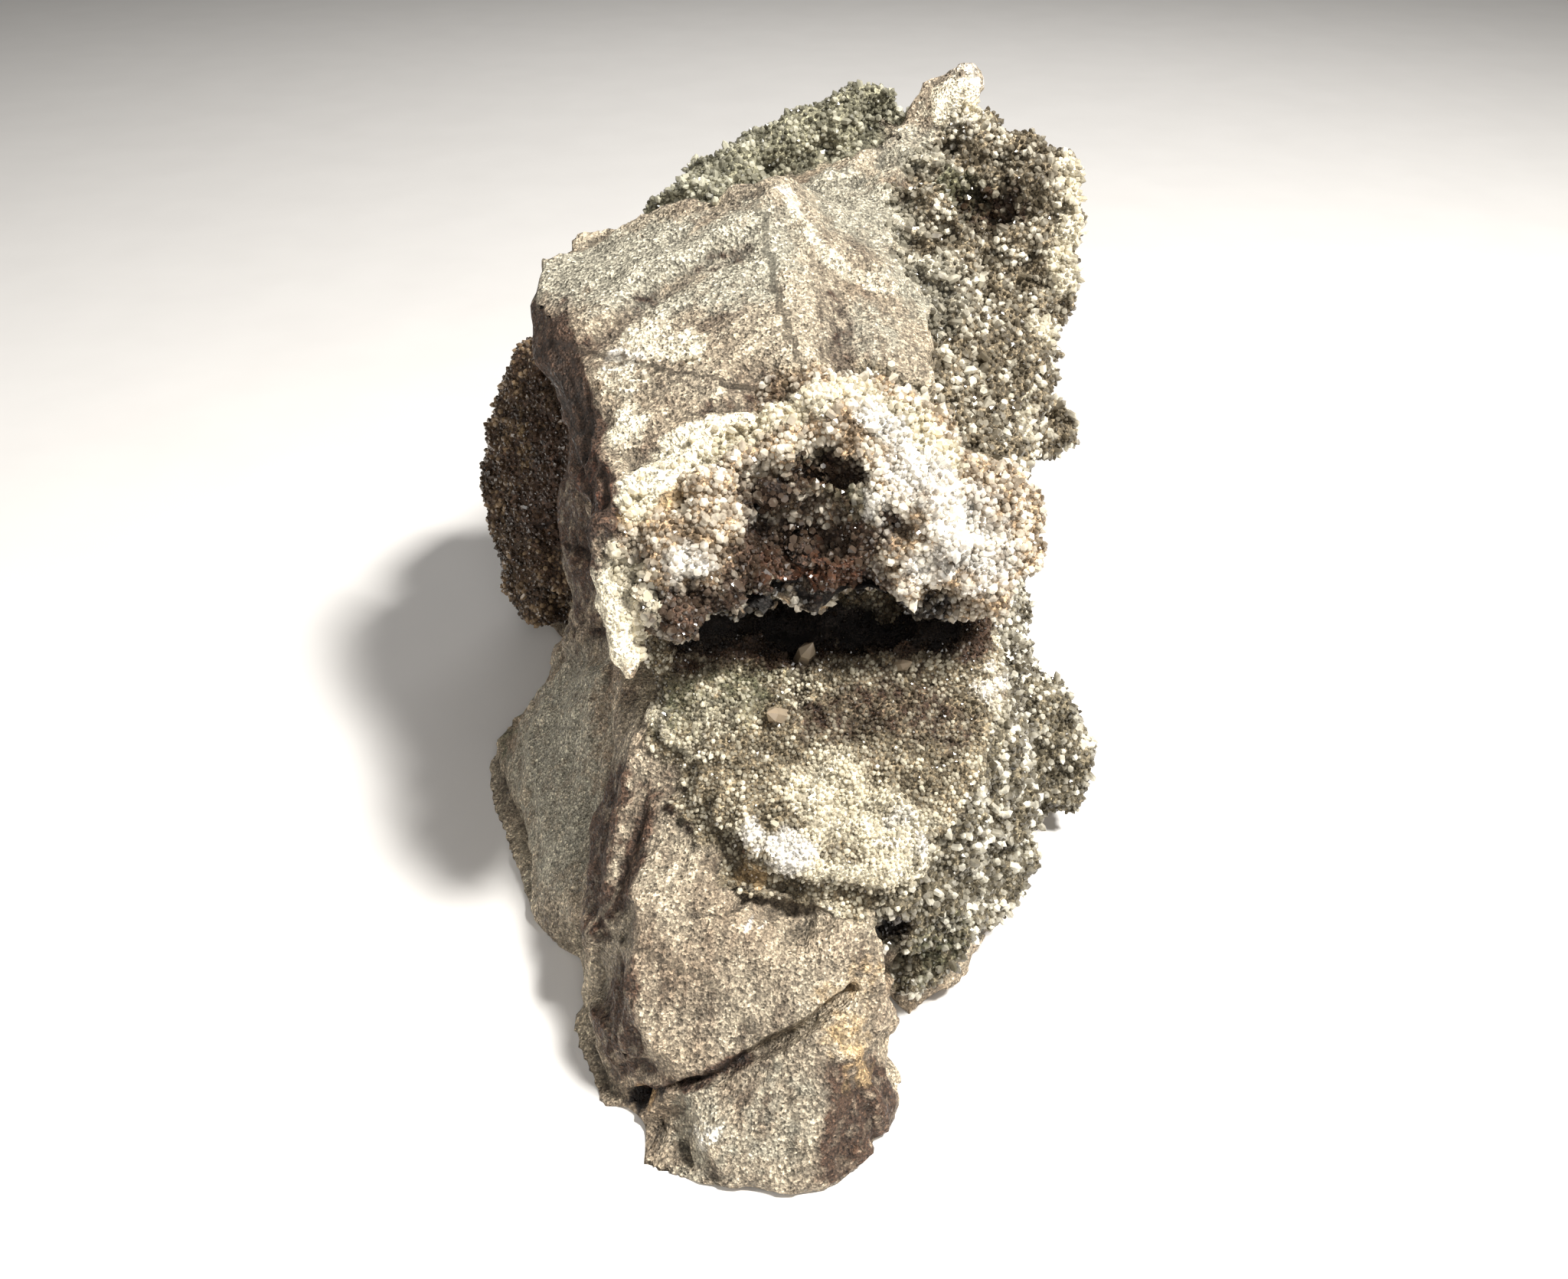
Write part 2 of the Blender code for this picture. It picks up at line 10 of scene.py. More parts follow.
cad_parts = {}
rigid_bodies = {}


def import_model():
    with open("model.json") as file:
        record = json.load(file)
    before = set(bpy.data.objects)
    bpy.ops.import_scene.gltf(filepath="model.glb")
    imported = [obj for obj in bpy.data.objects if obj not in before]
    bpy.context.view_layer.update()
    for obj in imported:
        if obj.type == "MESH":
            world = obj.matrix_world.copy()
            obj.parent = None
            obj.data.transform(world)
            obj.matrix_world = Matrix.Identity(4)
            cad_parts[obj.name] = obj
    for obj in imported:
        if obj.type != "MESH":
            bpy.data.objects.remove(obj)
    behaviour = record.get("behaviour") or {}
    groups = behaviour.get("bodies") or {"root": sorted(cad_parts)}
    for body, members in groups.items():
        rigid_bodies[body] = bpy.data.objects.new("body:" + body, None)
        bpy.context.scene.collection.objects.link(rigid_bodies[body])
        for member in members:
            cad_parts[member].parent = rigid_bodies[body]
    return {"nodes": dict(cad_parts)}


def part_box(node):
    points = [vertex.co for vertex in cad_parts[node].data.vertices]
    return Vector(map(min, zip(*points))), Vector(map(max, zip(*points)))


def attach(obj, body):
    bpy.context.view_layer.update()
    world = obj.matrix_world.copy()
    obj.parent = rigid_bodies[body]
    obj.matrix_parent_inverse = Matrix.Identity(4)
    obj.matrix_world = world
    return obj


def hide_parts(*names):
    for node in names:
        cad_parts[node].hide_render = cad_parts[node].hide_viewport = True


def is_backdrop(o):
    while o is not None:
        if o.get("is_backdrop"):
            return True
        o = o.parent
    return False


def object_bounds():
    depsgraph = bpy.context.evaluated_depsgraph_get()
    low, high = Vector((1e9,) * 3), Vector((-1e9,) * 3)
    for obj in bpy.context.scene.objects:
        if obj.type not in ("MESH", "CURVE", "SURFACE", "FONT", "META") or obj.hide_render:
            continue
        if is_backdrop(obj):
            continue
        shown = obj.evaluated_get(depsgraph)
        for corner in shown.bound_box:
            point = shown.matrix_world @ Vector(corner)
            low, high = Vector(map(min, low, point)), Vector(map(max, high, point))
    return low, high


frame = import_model()
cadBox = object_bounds()
mm = 0.001

# All places below are in mm from the foot of the rock's front toe: x right, y back, z up
toeInset = (36.5, 0.1)     # of that foot, from the rock's low corner
rockLow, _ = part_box("matrix_rock")
toe = Vector((rockLow.x / mm + toeInset[0], rockLow.y / mm + toeInset[1], 0))


def place(point):
    return (toe + Vector(point)) * mm


def newObject(name, data):
    piece = bpy.data.objects.new(name, data)
    bpy.context.scene.collection.objects.link(piece)
    return piece


def applied(mesh, *modifiers):  # the mesh with the modifiers' work in it
    holder = newObject("work", mesh)
    for kind, settings in modifiers:
        modifier = holder.modifiers.new(kind.lower(), kind)
        for key, value in settings.items():
            setattr(modifier, key, value)
    graph = bpy.context.evaluated_depsgraph_get()
    result = bpy.data.meshes.new_from_object(holder.evaluated_get(graph))
    bpy.data.objects.remove(holder)
    return result


def opened(mesh):
    work = bmesh.new()
    work.from_mesh(mesh)
    return work


def meshOf(work, name):
    mesh = bpy.data.meshes.new(name)
    work.to_mesh(mesh)
    work.free()
    return mesh


def sayTriangles(name, mesh):
    mesh.calc_loop_triangles()
    print(name, "has", len(mesh.loop_triangles), "triangles")


def readVectors(items, key):
    flat = np.empty(len(items) * 3, np.float32)
    items.foreach_get(key, flat)
    return flat.reshape(-1, 3)


def coordinates(mesh):  # in mm from the toe
    return readVectors(mesh.vertices, "co") / mm - np.array(toe)


def normalsOf(mesh):
    return readVectors(mesh.vertex_normals, "vector")


def moveTo(mesh, points):
    flat = (points + np.array(toe)) * mm
    mesh.vertices.foreach_set("co", flat.astype(np.float32).ravel())
    mesh.update()


def unit(direction):
    return np.array(direction) / np.linalg.norm(direction)


def farFrom(points, spot):
    return np.linalg.norm(points - np.array(spot), axis=1)


def squeezed(points, along, share):  # the places, drawn together along a direction
    along = unit(along)
    return points - np.outer(points @ along, along) * share


def distanceTo(points, path):  # from each point to a run of places
    best = np.full(len(points), np.inf)
    for here, there in zip(path, path[1:]):
        start = np.array(here)
        run = np.array(there) - start
        share = np.clip((points - start) @ run / (run @ run), 0, 1)
        best = np.minimum(best, np.linalg.norm(points - start - share[:, None] * run, axis=1))
    return best


def smooth(values, low, high):  # 0 at low, 1 at high, with soft ends; low may be above high
    share = np.clip((values - low) / (high - low), 0, 1)
    return share * share * (3 - 2 * share)


def side(points, plane):  # distance from a plane, below 0 behind it
    spot, normal = plane
    return (points - np.array(spot)) @ unit(normal)


def setValues(mesh, name, values, kind="FLOAT", key="value"):
    layer = mesh.attributes.new(name, kind, "POINT")
    layer.data.foreach_set(key, values.astype(np.float32).ravel())


body = {
    "merge": 0.001,        # corners this close are one
    "grain": 0.67,         # size of the remeshed faces
    "crustGrowth": 0.35,   # closes the gap between the crusts and the rock
    "smoothing": (0.5, 1),  # strength and rounds
    "reach": (2.4, 1.0),   # distance from a crust's solid where its druse starts and is full
    "ragged": 1.2,         # wander of a druse's edge
    "wander": (3.0, 1.1),  # wavelengths of that wander; the second is half as strong
    "meeting": 0.6,        # half width of the soft edge between two druses on one solid
    "foot": (0.1, 1.2),    # the underside stays level up to here, and is free above
    "back": (62, 72),      # from here back the cuts reach the ground
}


def mergedCopy(name):
    work = opened(frame["nodes"][name].data)
    bmesh.ops.remove_doubles(work, verts=work.verts, dist=body["merge"] * mm)
    work.normal_update()
    return work


def withoutLooseBits(mesh):  # leaves only the largest connected piece
    work = opened(mesh)
    left = set(work.verts)
    best = set()
    while left:
        island, front = set(), [left.pop()]
        while front:
            vert = front.pop()
            island.add(vert)
            others = {edge.other_vert(vert) for edge in vert.link_edges} & left
            left -= others
            front.extend(others)
        best = max(best, island, key=len)
    loose = [vert for vert in work.verts if vert not in best]
    bmesh.ops.delete(work, geom=loose, context="VERTS")
    return meshOf(work, "body")


def fusedBody():  # all the solids in one skin
    whole = bmesh.new()
    for name in frame["nodes"]:
        work = mergedCopy(name)
        if name != "matrix_rock":
            for vert in work.verts:
                vert.co += vert.normal * body["crustGrowth"] * mm
        whole.from_mesh(meshOf(work, name))
    mesh = applied(
        meshOf(whole, "whole"),
        ("REMESH", {"mode": "VOXEL", "voxel_size": body["grain"] * mm}),
        ("SMOOTH", dict(zip(("factor", "iterations"), body["smoothing"]))),
    )
    return withoutLooseBits(mesh)


# Cracks: the places along each, its width and depth
cracks = {
    "toe": (((-14.6, 8, 1.6), (-11.8, 7.3, 3.9), (-8.9, 7.4, 5.8), (-5.6, 7.5, 6.8),
             (-3.5, 8.5, 8.1), (1.1, 9.6, 10.2), (3.4, 10.7, 11.1), (6.5, 12.1, 12.3)), 0.95, 2.6),
    "toeHole": (((-13.9, 8.5, 2), (-12.4, 8, 3.4)), 1.6, 2.8),
    "step": (((-3.4, 19.4, 19.2), (-1, 19.4, 18.9), (1.7, 18.6, 18.9), (5.7, 18.4, 18.2),
              (10.1, 17.9, 17.9)), 0.8, 1.8),
    "column": (((-8.5, 16.6, 17.6), (-6.8, 16.6, 17.5), (-3.3, 16.7, 17.5)), 0.45, 0.8),
}
crackWander = 0.3          # how far they stray from those places

splitting = {              # finer faces along the cracks
    "rounds": 2,
    "reach": 1.6,
    "hairline": 0.5,       # cracks up to this wide are not split
}


def finerAt(mesh, paths):  # splits the faces along the cracks, so that they stay sharp
    work = opened(mesh)
    for _ in range(splitting["rounds"]):
        spots = np.array([vert.co for vert in work.verts]) / mm - np.array(toe)
        near = np.min([distanceTo(spots, path) for path in paths], axis=0) < splitting["reach"]
        work.verts.ensure_lookup_table()
        edges = [edge for edge in work.edges if all(near[vert.index] for vert in edge.verts)]
        bmesh.ops.subdivide_edges(work, edges=edges, cuts=1, use_grid_fill=True)
        work.verts.index_update()
    return meshOf(work, "body")


seedStep = Vector((13.7, -7.1, 3.3))  # each seed reads the noise from another place


def noiseOf(points, length, seed, kind=noise.noise):
    offset = seedStep * seed
    return np.array([kind(Vector(point) / length + offset) for point in points])


rockRelief = {             # wavelength and height of each layer
    "swell": (9.0, 0.15),
    "lumps": (2.6, 0.04),
    "grit": (0.9, 0.05),
    "chips": (6.0, 0.17),  # flat broken facets: their size and slope
    "smallChips": (2.6, 0.15),
    "tinyChips": (1.2, 0.11),
    "seam": 0.07,          # width of the soft seams between the facets, in their own sizes
    "fractal": (0.9, 2.1, 4),  # roughness, step and octaves of the swell and the lumps
    "calm": 0.55,          # share taken off on the blocks' faces
    "buried": 0.6,         # share taken off under the crystals
}


def fractal(spot):
    return noise.fractal(spot, *rockRelief["fractal"])


def fractalOf(points, length, seed):
    return noiseOf(points, length, seed, fractal)


cellStride = 7.31  # reads each facet's slope from a place of its own


def chip(spot):  # height on flat facets at random slopes, with soft seams
    near, centres = noise.voronoi(spot)
    one, two = (
        (spot - centre).dot(noise.cell_vector(centre * cellStride) * 2 - Vector((1, 1, 1)))
        for centre in centres[:2]
    )
    share = min(1, (near[1] - near[0]) / rockRelief["seam"]) / 2 + 0.5
    return one * share + two * (1 - share)


def chipsOf(points, size, seed):
    return noiseOf(points, size, seed, chip) * size


druseRelief = {            # wavelength and height
    "lumps": (3.2, 0.8),
    "knobs": (1.4, 0.35),
    "steep": 1.6,          # how far the surface falls between them
}


def knob(spot):  # height of round knobs: 1 on top, and below 0 between them
    near, _ = noise.voronoi(spot)
    return 1 - min(1, near[0]) ** 2 * druseRelief["steep"]


# Broken blocks: the ball that each fills, then a place on each flat face and the way it faces
blocks = {
    "head": ((-5, 58, 58), 24, (
        ((-21.6, 54.6, 56.4), (-0.311, -0.163, 0.936)),   # top left
        ((-21.6, 54.6, 56.7), (-0.129, -0.424, 0.897)),   # front
        ((7.8, 59.9, 60.3), (0.231, -0.401, 0.886)),      # right
        ((2.4, 44, 55.8), (0.288, -0.323, 0.901)),        # lower right
        ((-17.6, 43.2, 52.3), (-0.76, -0.4, 0.51)),       # left wall
    )),
    "column": ((-13, 27, 20), 10.5, (
        ((-14.9, 28.5, 21), (-0.258, -0.63, 0.734)),
        ((-14.9, 28.5, 21), (-0.797, -0.276, 0.536)),
    )),
    "foot": ((-7, 12, 12), 11, (
        ((-13, 14.6, 16.5), (0.063, -0.762, 0.644)),
        ((-14.2, 11.3, 11.5), (-0.588, -0.611, 0.532)),
        ((4.3, 11.9, 12.2), (0.5, -0.6, 0.62)),
    )),
    "lobe": ((-25, 44, 12), 16, (
        ((-21.5, 40, 15.5), (-0.6, -0.5, 0.62)),
        ((-25, 43, 12), (-0.88, -0.3, 0.37)),
        ((-29, 50, 9), (-0.62, -0.3, 0.72)),
    )),
    "toe": ((1, 4, 4), 8, (
        ((2.1, 3.8, 4.9), (0.02, -0.70, 0.72)),
        ((4.6, 5.1, 5.6), (0.66, -0.60, 0.45)),
    )),
}

squaring = {               # how the rock is brought onto those faces
    "soft": 4,             # width of the balls' soft edges
    "above": 2.2,          # most that is taken off
    "below": (-2.4, -1.2),  # hollows deeper than the first stay, up to the second they are filled
    "share": 0.92,
}


def squared(points, bare):  # brings the rock near a block's faces onto them
    for centre, radius, faces in blocks.values():
        normals = np.array([normal for _, normal in faces])
        normals /= np.linalg.norm(normals, axis=1)[:, None]
        over = np.stack([(points - spot) @ normal for (spot, _), normal in zip(faces, normals)])
        face = over.argmax(axis=0)
        over = over.max(axis=0)
        near = smooth(farFrom(points, centre), radius, radius - squaring["soft"]) * bare
        filled = over * smooth(over, *squaring["below"])
        pull = np.where(over > 0, np.minimum(over, squaring["above"]), filled)
        points = points - normals[face] * (pull * near * squaring["share"])[:, None]
    return points


chisel = {                 # flat cuts all over the bare rock
    "cuts": 240,
    "seed": 5,
    "radius": (4.5, 10.0),
    "lean": 0.13,          # how far each cut leans from the surface
    "share": 62,           # percent of the surface round a cut that stays below it
    "depth": 1.5,
    "rim": 0.7,            # share of the radius from which a cut fades
    "fade": (0.5, 0.85),   # shares of a spared ball's radius where the cuts start and are full
    # Balls that stay uncut: the lip's hanging corner, the horn, the head's corner and the toe
    "spared": (((-14.5, 29, 41), 8), ((19.5, 84, 71), 6), ((-24, 62, 57), 12), ((1, 4, 5), 14)),
}


def chiselled(points, normals, chance, bare):  # cuts the rock flat, like broken stone
    lot = np.random.default_rng(chisel["seed"])
    none, full = chisel["fade"]
    whole = [block[:2] for block in blocks.values()]
    for centre, radius in (*chisel["spared"], *whole):
        away = smooth(farFrom(points, centre), none * radius, full * radius)
        chance = chance * away
        bare = bare * away
    for spot in points[lot.choice(len(points), chisel["cuts"], p=chance / chance.sum())]:
        radius = lot.uniform(*chisel["radius"])
        far = farFrom(points, spot)
        near = far < radius
        normal = normals[near].mean(axis=0) + lot.normal(0, chisel["lean"], 3)
        normal /= np.linalg.norm(normal)
        heights = points[near] @ normal
        over = np.maximum(heights - np.percentile(heights, chisel["share"]), 0)
        over = np.minimum(over, chisel["depth"])
        over *= smooth(far[near], radius, chisel["rim"] * radius) * bare[near]
        points[near] -= normal * over[:, None]
    return points


forms = {                  # for the bumps, hollows and ridges below
    "wander": 2.2,         # wavelength of the wander of their edges
    "seeds": (11, 12, 13),
    "straight": 0.7,       # share of the wander on ridges
    "core": 0.25,          # share of a bump's radius that has its full height
}

# Bumps and hollows: place, radius and height
swellings = {
    "lipCavity": ((4, 37.6, 50.6), 4.8, -3.8),
    "lipCavityLeft": ((-1.6, 36.4, 49.8), 4.2, -3.2),
    "lipRoof": ((2, 34.5, 44.8), 5.2, -3.6),
    "lipNotch": ((-12.9, 31.8, 45.5), 1.9, -2.2),
    "lipLeft": ((-8, 32.1, 45.3), 3.2, 1.1),
    "lipRight": ((13.9, 36.2, 48.3), 5.5, 0.9),
    "lipPit": ((9.1, 34.3, 47.9), 2.6, -2.0),
    "lipArch": ((-0.5, 33.4, 40.4), 5, -3),
    "lipArchRight": ((7, 34.5, 39.8), 5, -2.2),
    "lipHang": ((-10.6, 31.4, 41), 4.2, 2.4),
    "crevice": ((0, 41, 32), 5, -2),
    "creviceRight": ((9, 41, 32), 5, -2),
    "lipBead": ((-1, 34, 48.5), 2.2, 1.2),
    "faceScoop": ((-2, 46.4, 55.5), 4.6, -1.0),
    "lowScoop": ((-11.5, 39.8, 52), 3.6, -0.8),
    "flankHollow": ((21, 75.3, 62.4), 4.6, -3.2),
    "shelfBank": ((11, 34, 28.3), 8.5, 0.8),
    "flankNotch": ((9.8, 19.3, 13.3), 3, -1.8),
}

# Sharp ridges, and valleys where the height is negative: path, width and height
creases = {
    "apex": (((-0.3, 70.6, 65.6), (1.8, 65.4, 63.8), (5.1, 62.9, 62.2), (10.5, 60.6, 59.7)),
             2.8, 0.9),
    "crest": (((-20, 72.3, 61.2), (-12, 73, 62.8), (-0.4, 70.6, 65.7), (9.1, 80.5, 68.1),
               (14, 85, 69.6)), 2.2, 0.8),
    "topStep": (((-22, 55, 56.3), (-17.6, 56.7, 58.2), (-14.1, 60.7, 60), (-9.5, 62.8, 61.6),
                 (-4.8, 64.8, 63.3), (-0.6, 67.9, 65.7)), 2.4, 0.7),
    "underStep": (((-21, 52, 55.6), (-17, 54, 57.2), (-13.2, 57.9, 58.8), (-8.6, 60, 60.2),
                   (-4, 61.8, 61.8)), 3.2, -1.0),
    "rightFold": (((6.4, 60.4, 61), (5.4, 54.4, 58.6), (5.7, 49.7, 56.3), (7.6, 43.9, 55.6)),
                  3, -0.8),
    "lipBrow": (((-12, 41, 52.4), (-6.5, 41.6, 53.9), (-2.7, 42.6, 54), (0.7, 42.1, 54.9),
                 (2.4, 42.3, 55.9), (6, 44, 55.9)), 1.5, 0.9),
    "underBrow": (((-6.5, 43.2, 54.4), (-2.7, 44.2, 54.6), (0.7, 44, 55.4)), 1.6, -0.8),
    "flankRim": (((30.3, 79, 65.3), (30.4, 75.8, 62.2), (28.8, 70, 56), (26.5, 62, 50)), 2.6, 0.8),
    "columnEdge": (((-13.1, 34.1, 26.4), (-14.9, 28.5, 21), (-16, 24.2, 17.7),
                    (-16.9, 21.4, 14.2)), 2.4, 0.8),
    "columnTop": (((-13, 34.5, 27), (-10.3, 31, 26.8), (-8.5, 30, 25)), 1.4, 0.5),
    "footEdge": (((-13.5, 15.4, 16.8), (-14.2, 11.3, 11.5), (-15.2, 8.8, 8)), 2, 0.6),
    "shelfRim": (((-2.6, 21, 20.6), (0.5, 20.4, 20.8), (3.4, 19.8, 20.6), (7, 19.2, 20.1)),
                 1.3, 0.7),
    "shelfGroove": (((1.2, 40.5, 32), (1.2, 36, 30.2), (1.4, 32.5, 28.7)), 1.5, -1.3),
    "toeRidge": (((2.1, 3.8, 4.7), (5.1, 5.5, 5.8), (7.7, 6.8, 5)), 1.3, 0.4),
}


def formOf(points):  # height of the bumps, ridges and valleys
    wander = [noiseOf(points, forms["wander"], seed) for seed in forms["seeds"]]
    wander = np.stack(wander, axis=1)
    height = np.zeros(len(points))
    for spot, radius, rise in swellings.values():
        far = farFrom(points + wander, spot)
        height += rise * smooth(far, radius, forms["core"] * radius)
    for path, width, rise in creases.values():
        far = distanceTo(points + wander * forms["straight"], path)
        height += rise * np.clip(1 - far / width, 0, 1)
    return height


# Striped faces: centre, radius, the way the stripes run, their spacing and height
stripes = {
    "topFace": ((-12, 62, 60), 13, (0.79, 0.53, 0.32), 0.8, 0.26),
    "rightFace": ((8, 64, 62), 12, (0.15, -0.9, -0.4), 0.8, 0.26),
    "leftWall": ((-21, 44, 46), 14, (0.3, -0.75, -0.59), 0.8, 0.35),
    "column": ((-11, 25, 21), 9, (-0.15, -0.83, -0.53), 0.7, 0.42),
    "footWall": ((-16, 12, 9), 6, (-0.16, -0.56, -0.82), 0.7, 0.3),
    "lobe": ((-20, 40, 20), 13, (-0.2, -0.7, -0.7), 1.4, 0.3),
}

striping = {
    "edge": 0.6,           # share of the radius from which the stripes fade
    "relief": 0.88,        # how far the stripes' relief is drawn out along them
    "colour": 0.9,         # and their colours
}


def layOf(points):  # the places, squeezed along the nearest face's stripes
    lay = np.empty_like(points)
    best = np.full(len(points), np.inf)
    for centre, radius, along, *_ in stripes.values():
        far = farFrom(points, centre) / radius
        near = far < best
        best[near] = far[near]
        lay[near] = squeezed(points, along, striping["colour"])[near]
    return lay


def reliefOf(points, druse, grown):  # height of the broken rock and of the druses' lumps
    height = np.zeros(len(points))
    for layer, noiseKind, seed in (
        ("swell", fractalOf, 3), ("lumps", fractalOf, 4), ("grit", noiseOf, 5),
        ("chips", chipsOf, 6), ("smallChips", chipsOf, 7), ("tinyChips", chipsOf, 8),
    ):
        length, rise = rockRelief[layer]
        height += rise * noiseKind(points, length, seed)
    for centre, radius, _ in blocks.values():  # the flat faces are calmer
        near = smooth(farFrom(points, centre), radius, radius - squaring["soft"])
        height *= 1 - rockRelief["calm"] * near
    for centre, radius, along, length, rise in stripes.values():
        near = smooth(farFrom(points, centre), radius, radius * striping["edge"])
        drawn = squeezed(points, along, striping["relief"])
        height += near * rise * fractalOf(drawn, length, 10)
    height *= 1 - rockRelief["buried"] * druse
    (wide, tall), (small, low) = druseRelief["lumps"], druseRelief["knobs"]
    lumps = tall * (noiseOf(points, wide, 8, knob) - 1) + low * noiseOf(points, small, 9, knob)
    for name, share in grown.items():
        height += share * lumps * druses[name]["lumps"]
    return height


# the hollows found with this place the painted shade and the painted highlight on the rock
hollowSmoothing = {"factor": 0.5, "iterations": 12}  # smooths the copy that shows the hollows


def hollowsOf(mesh, points):  # in mm: above 0 in the hollows, below 0 on the edges
    copy = applied(mesh.copy(), ("SMOOTH", hollowSmoothing))
    return ((coordinates(copy) - points) * normalsOf(copy)).sum(axis=1)
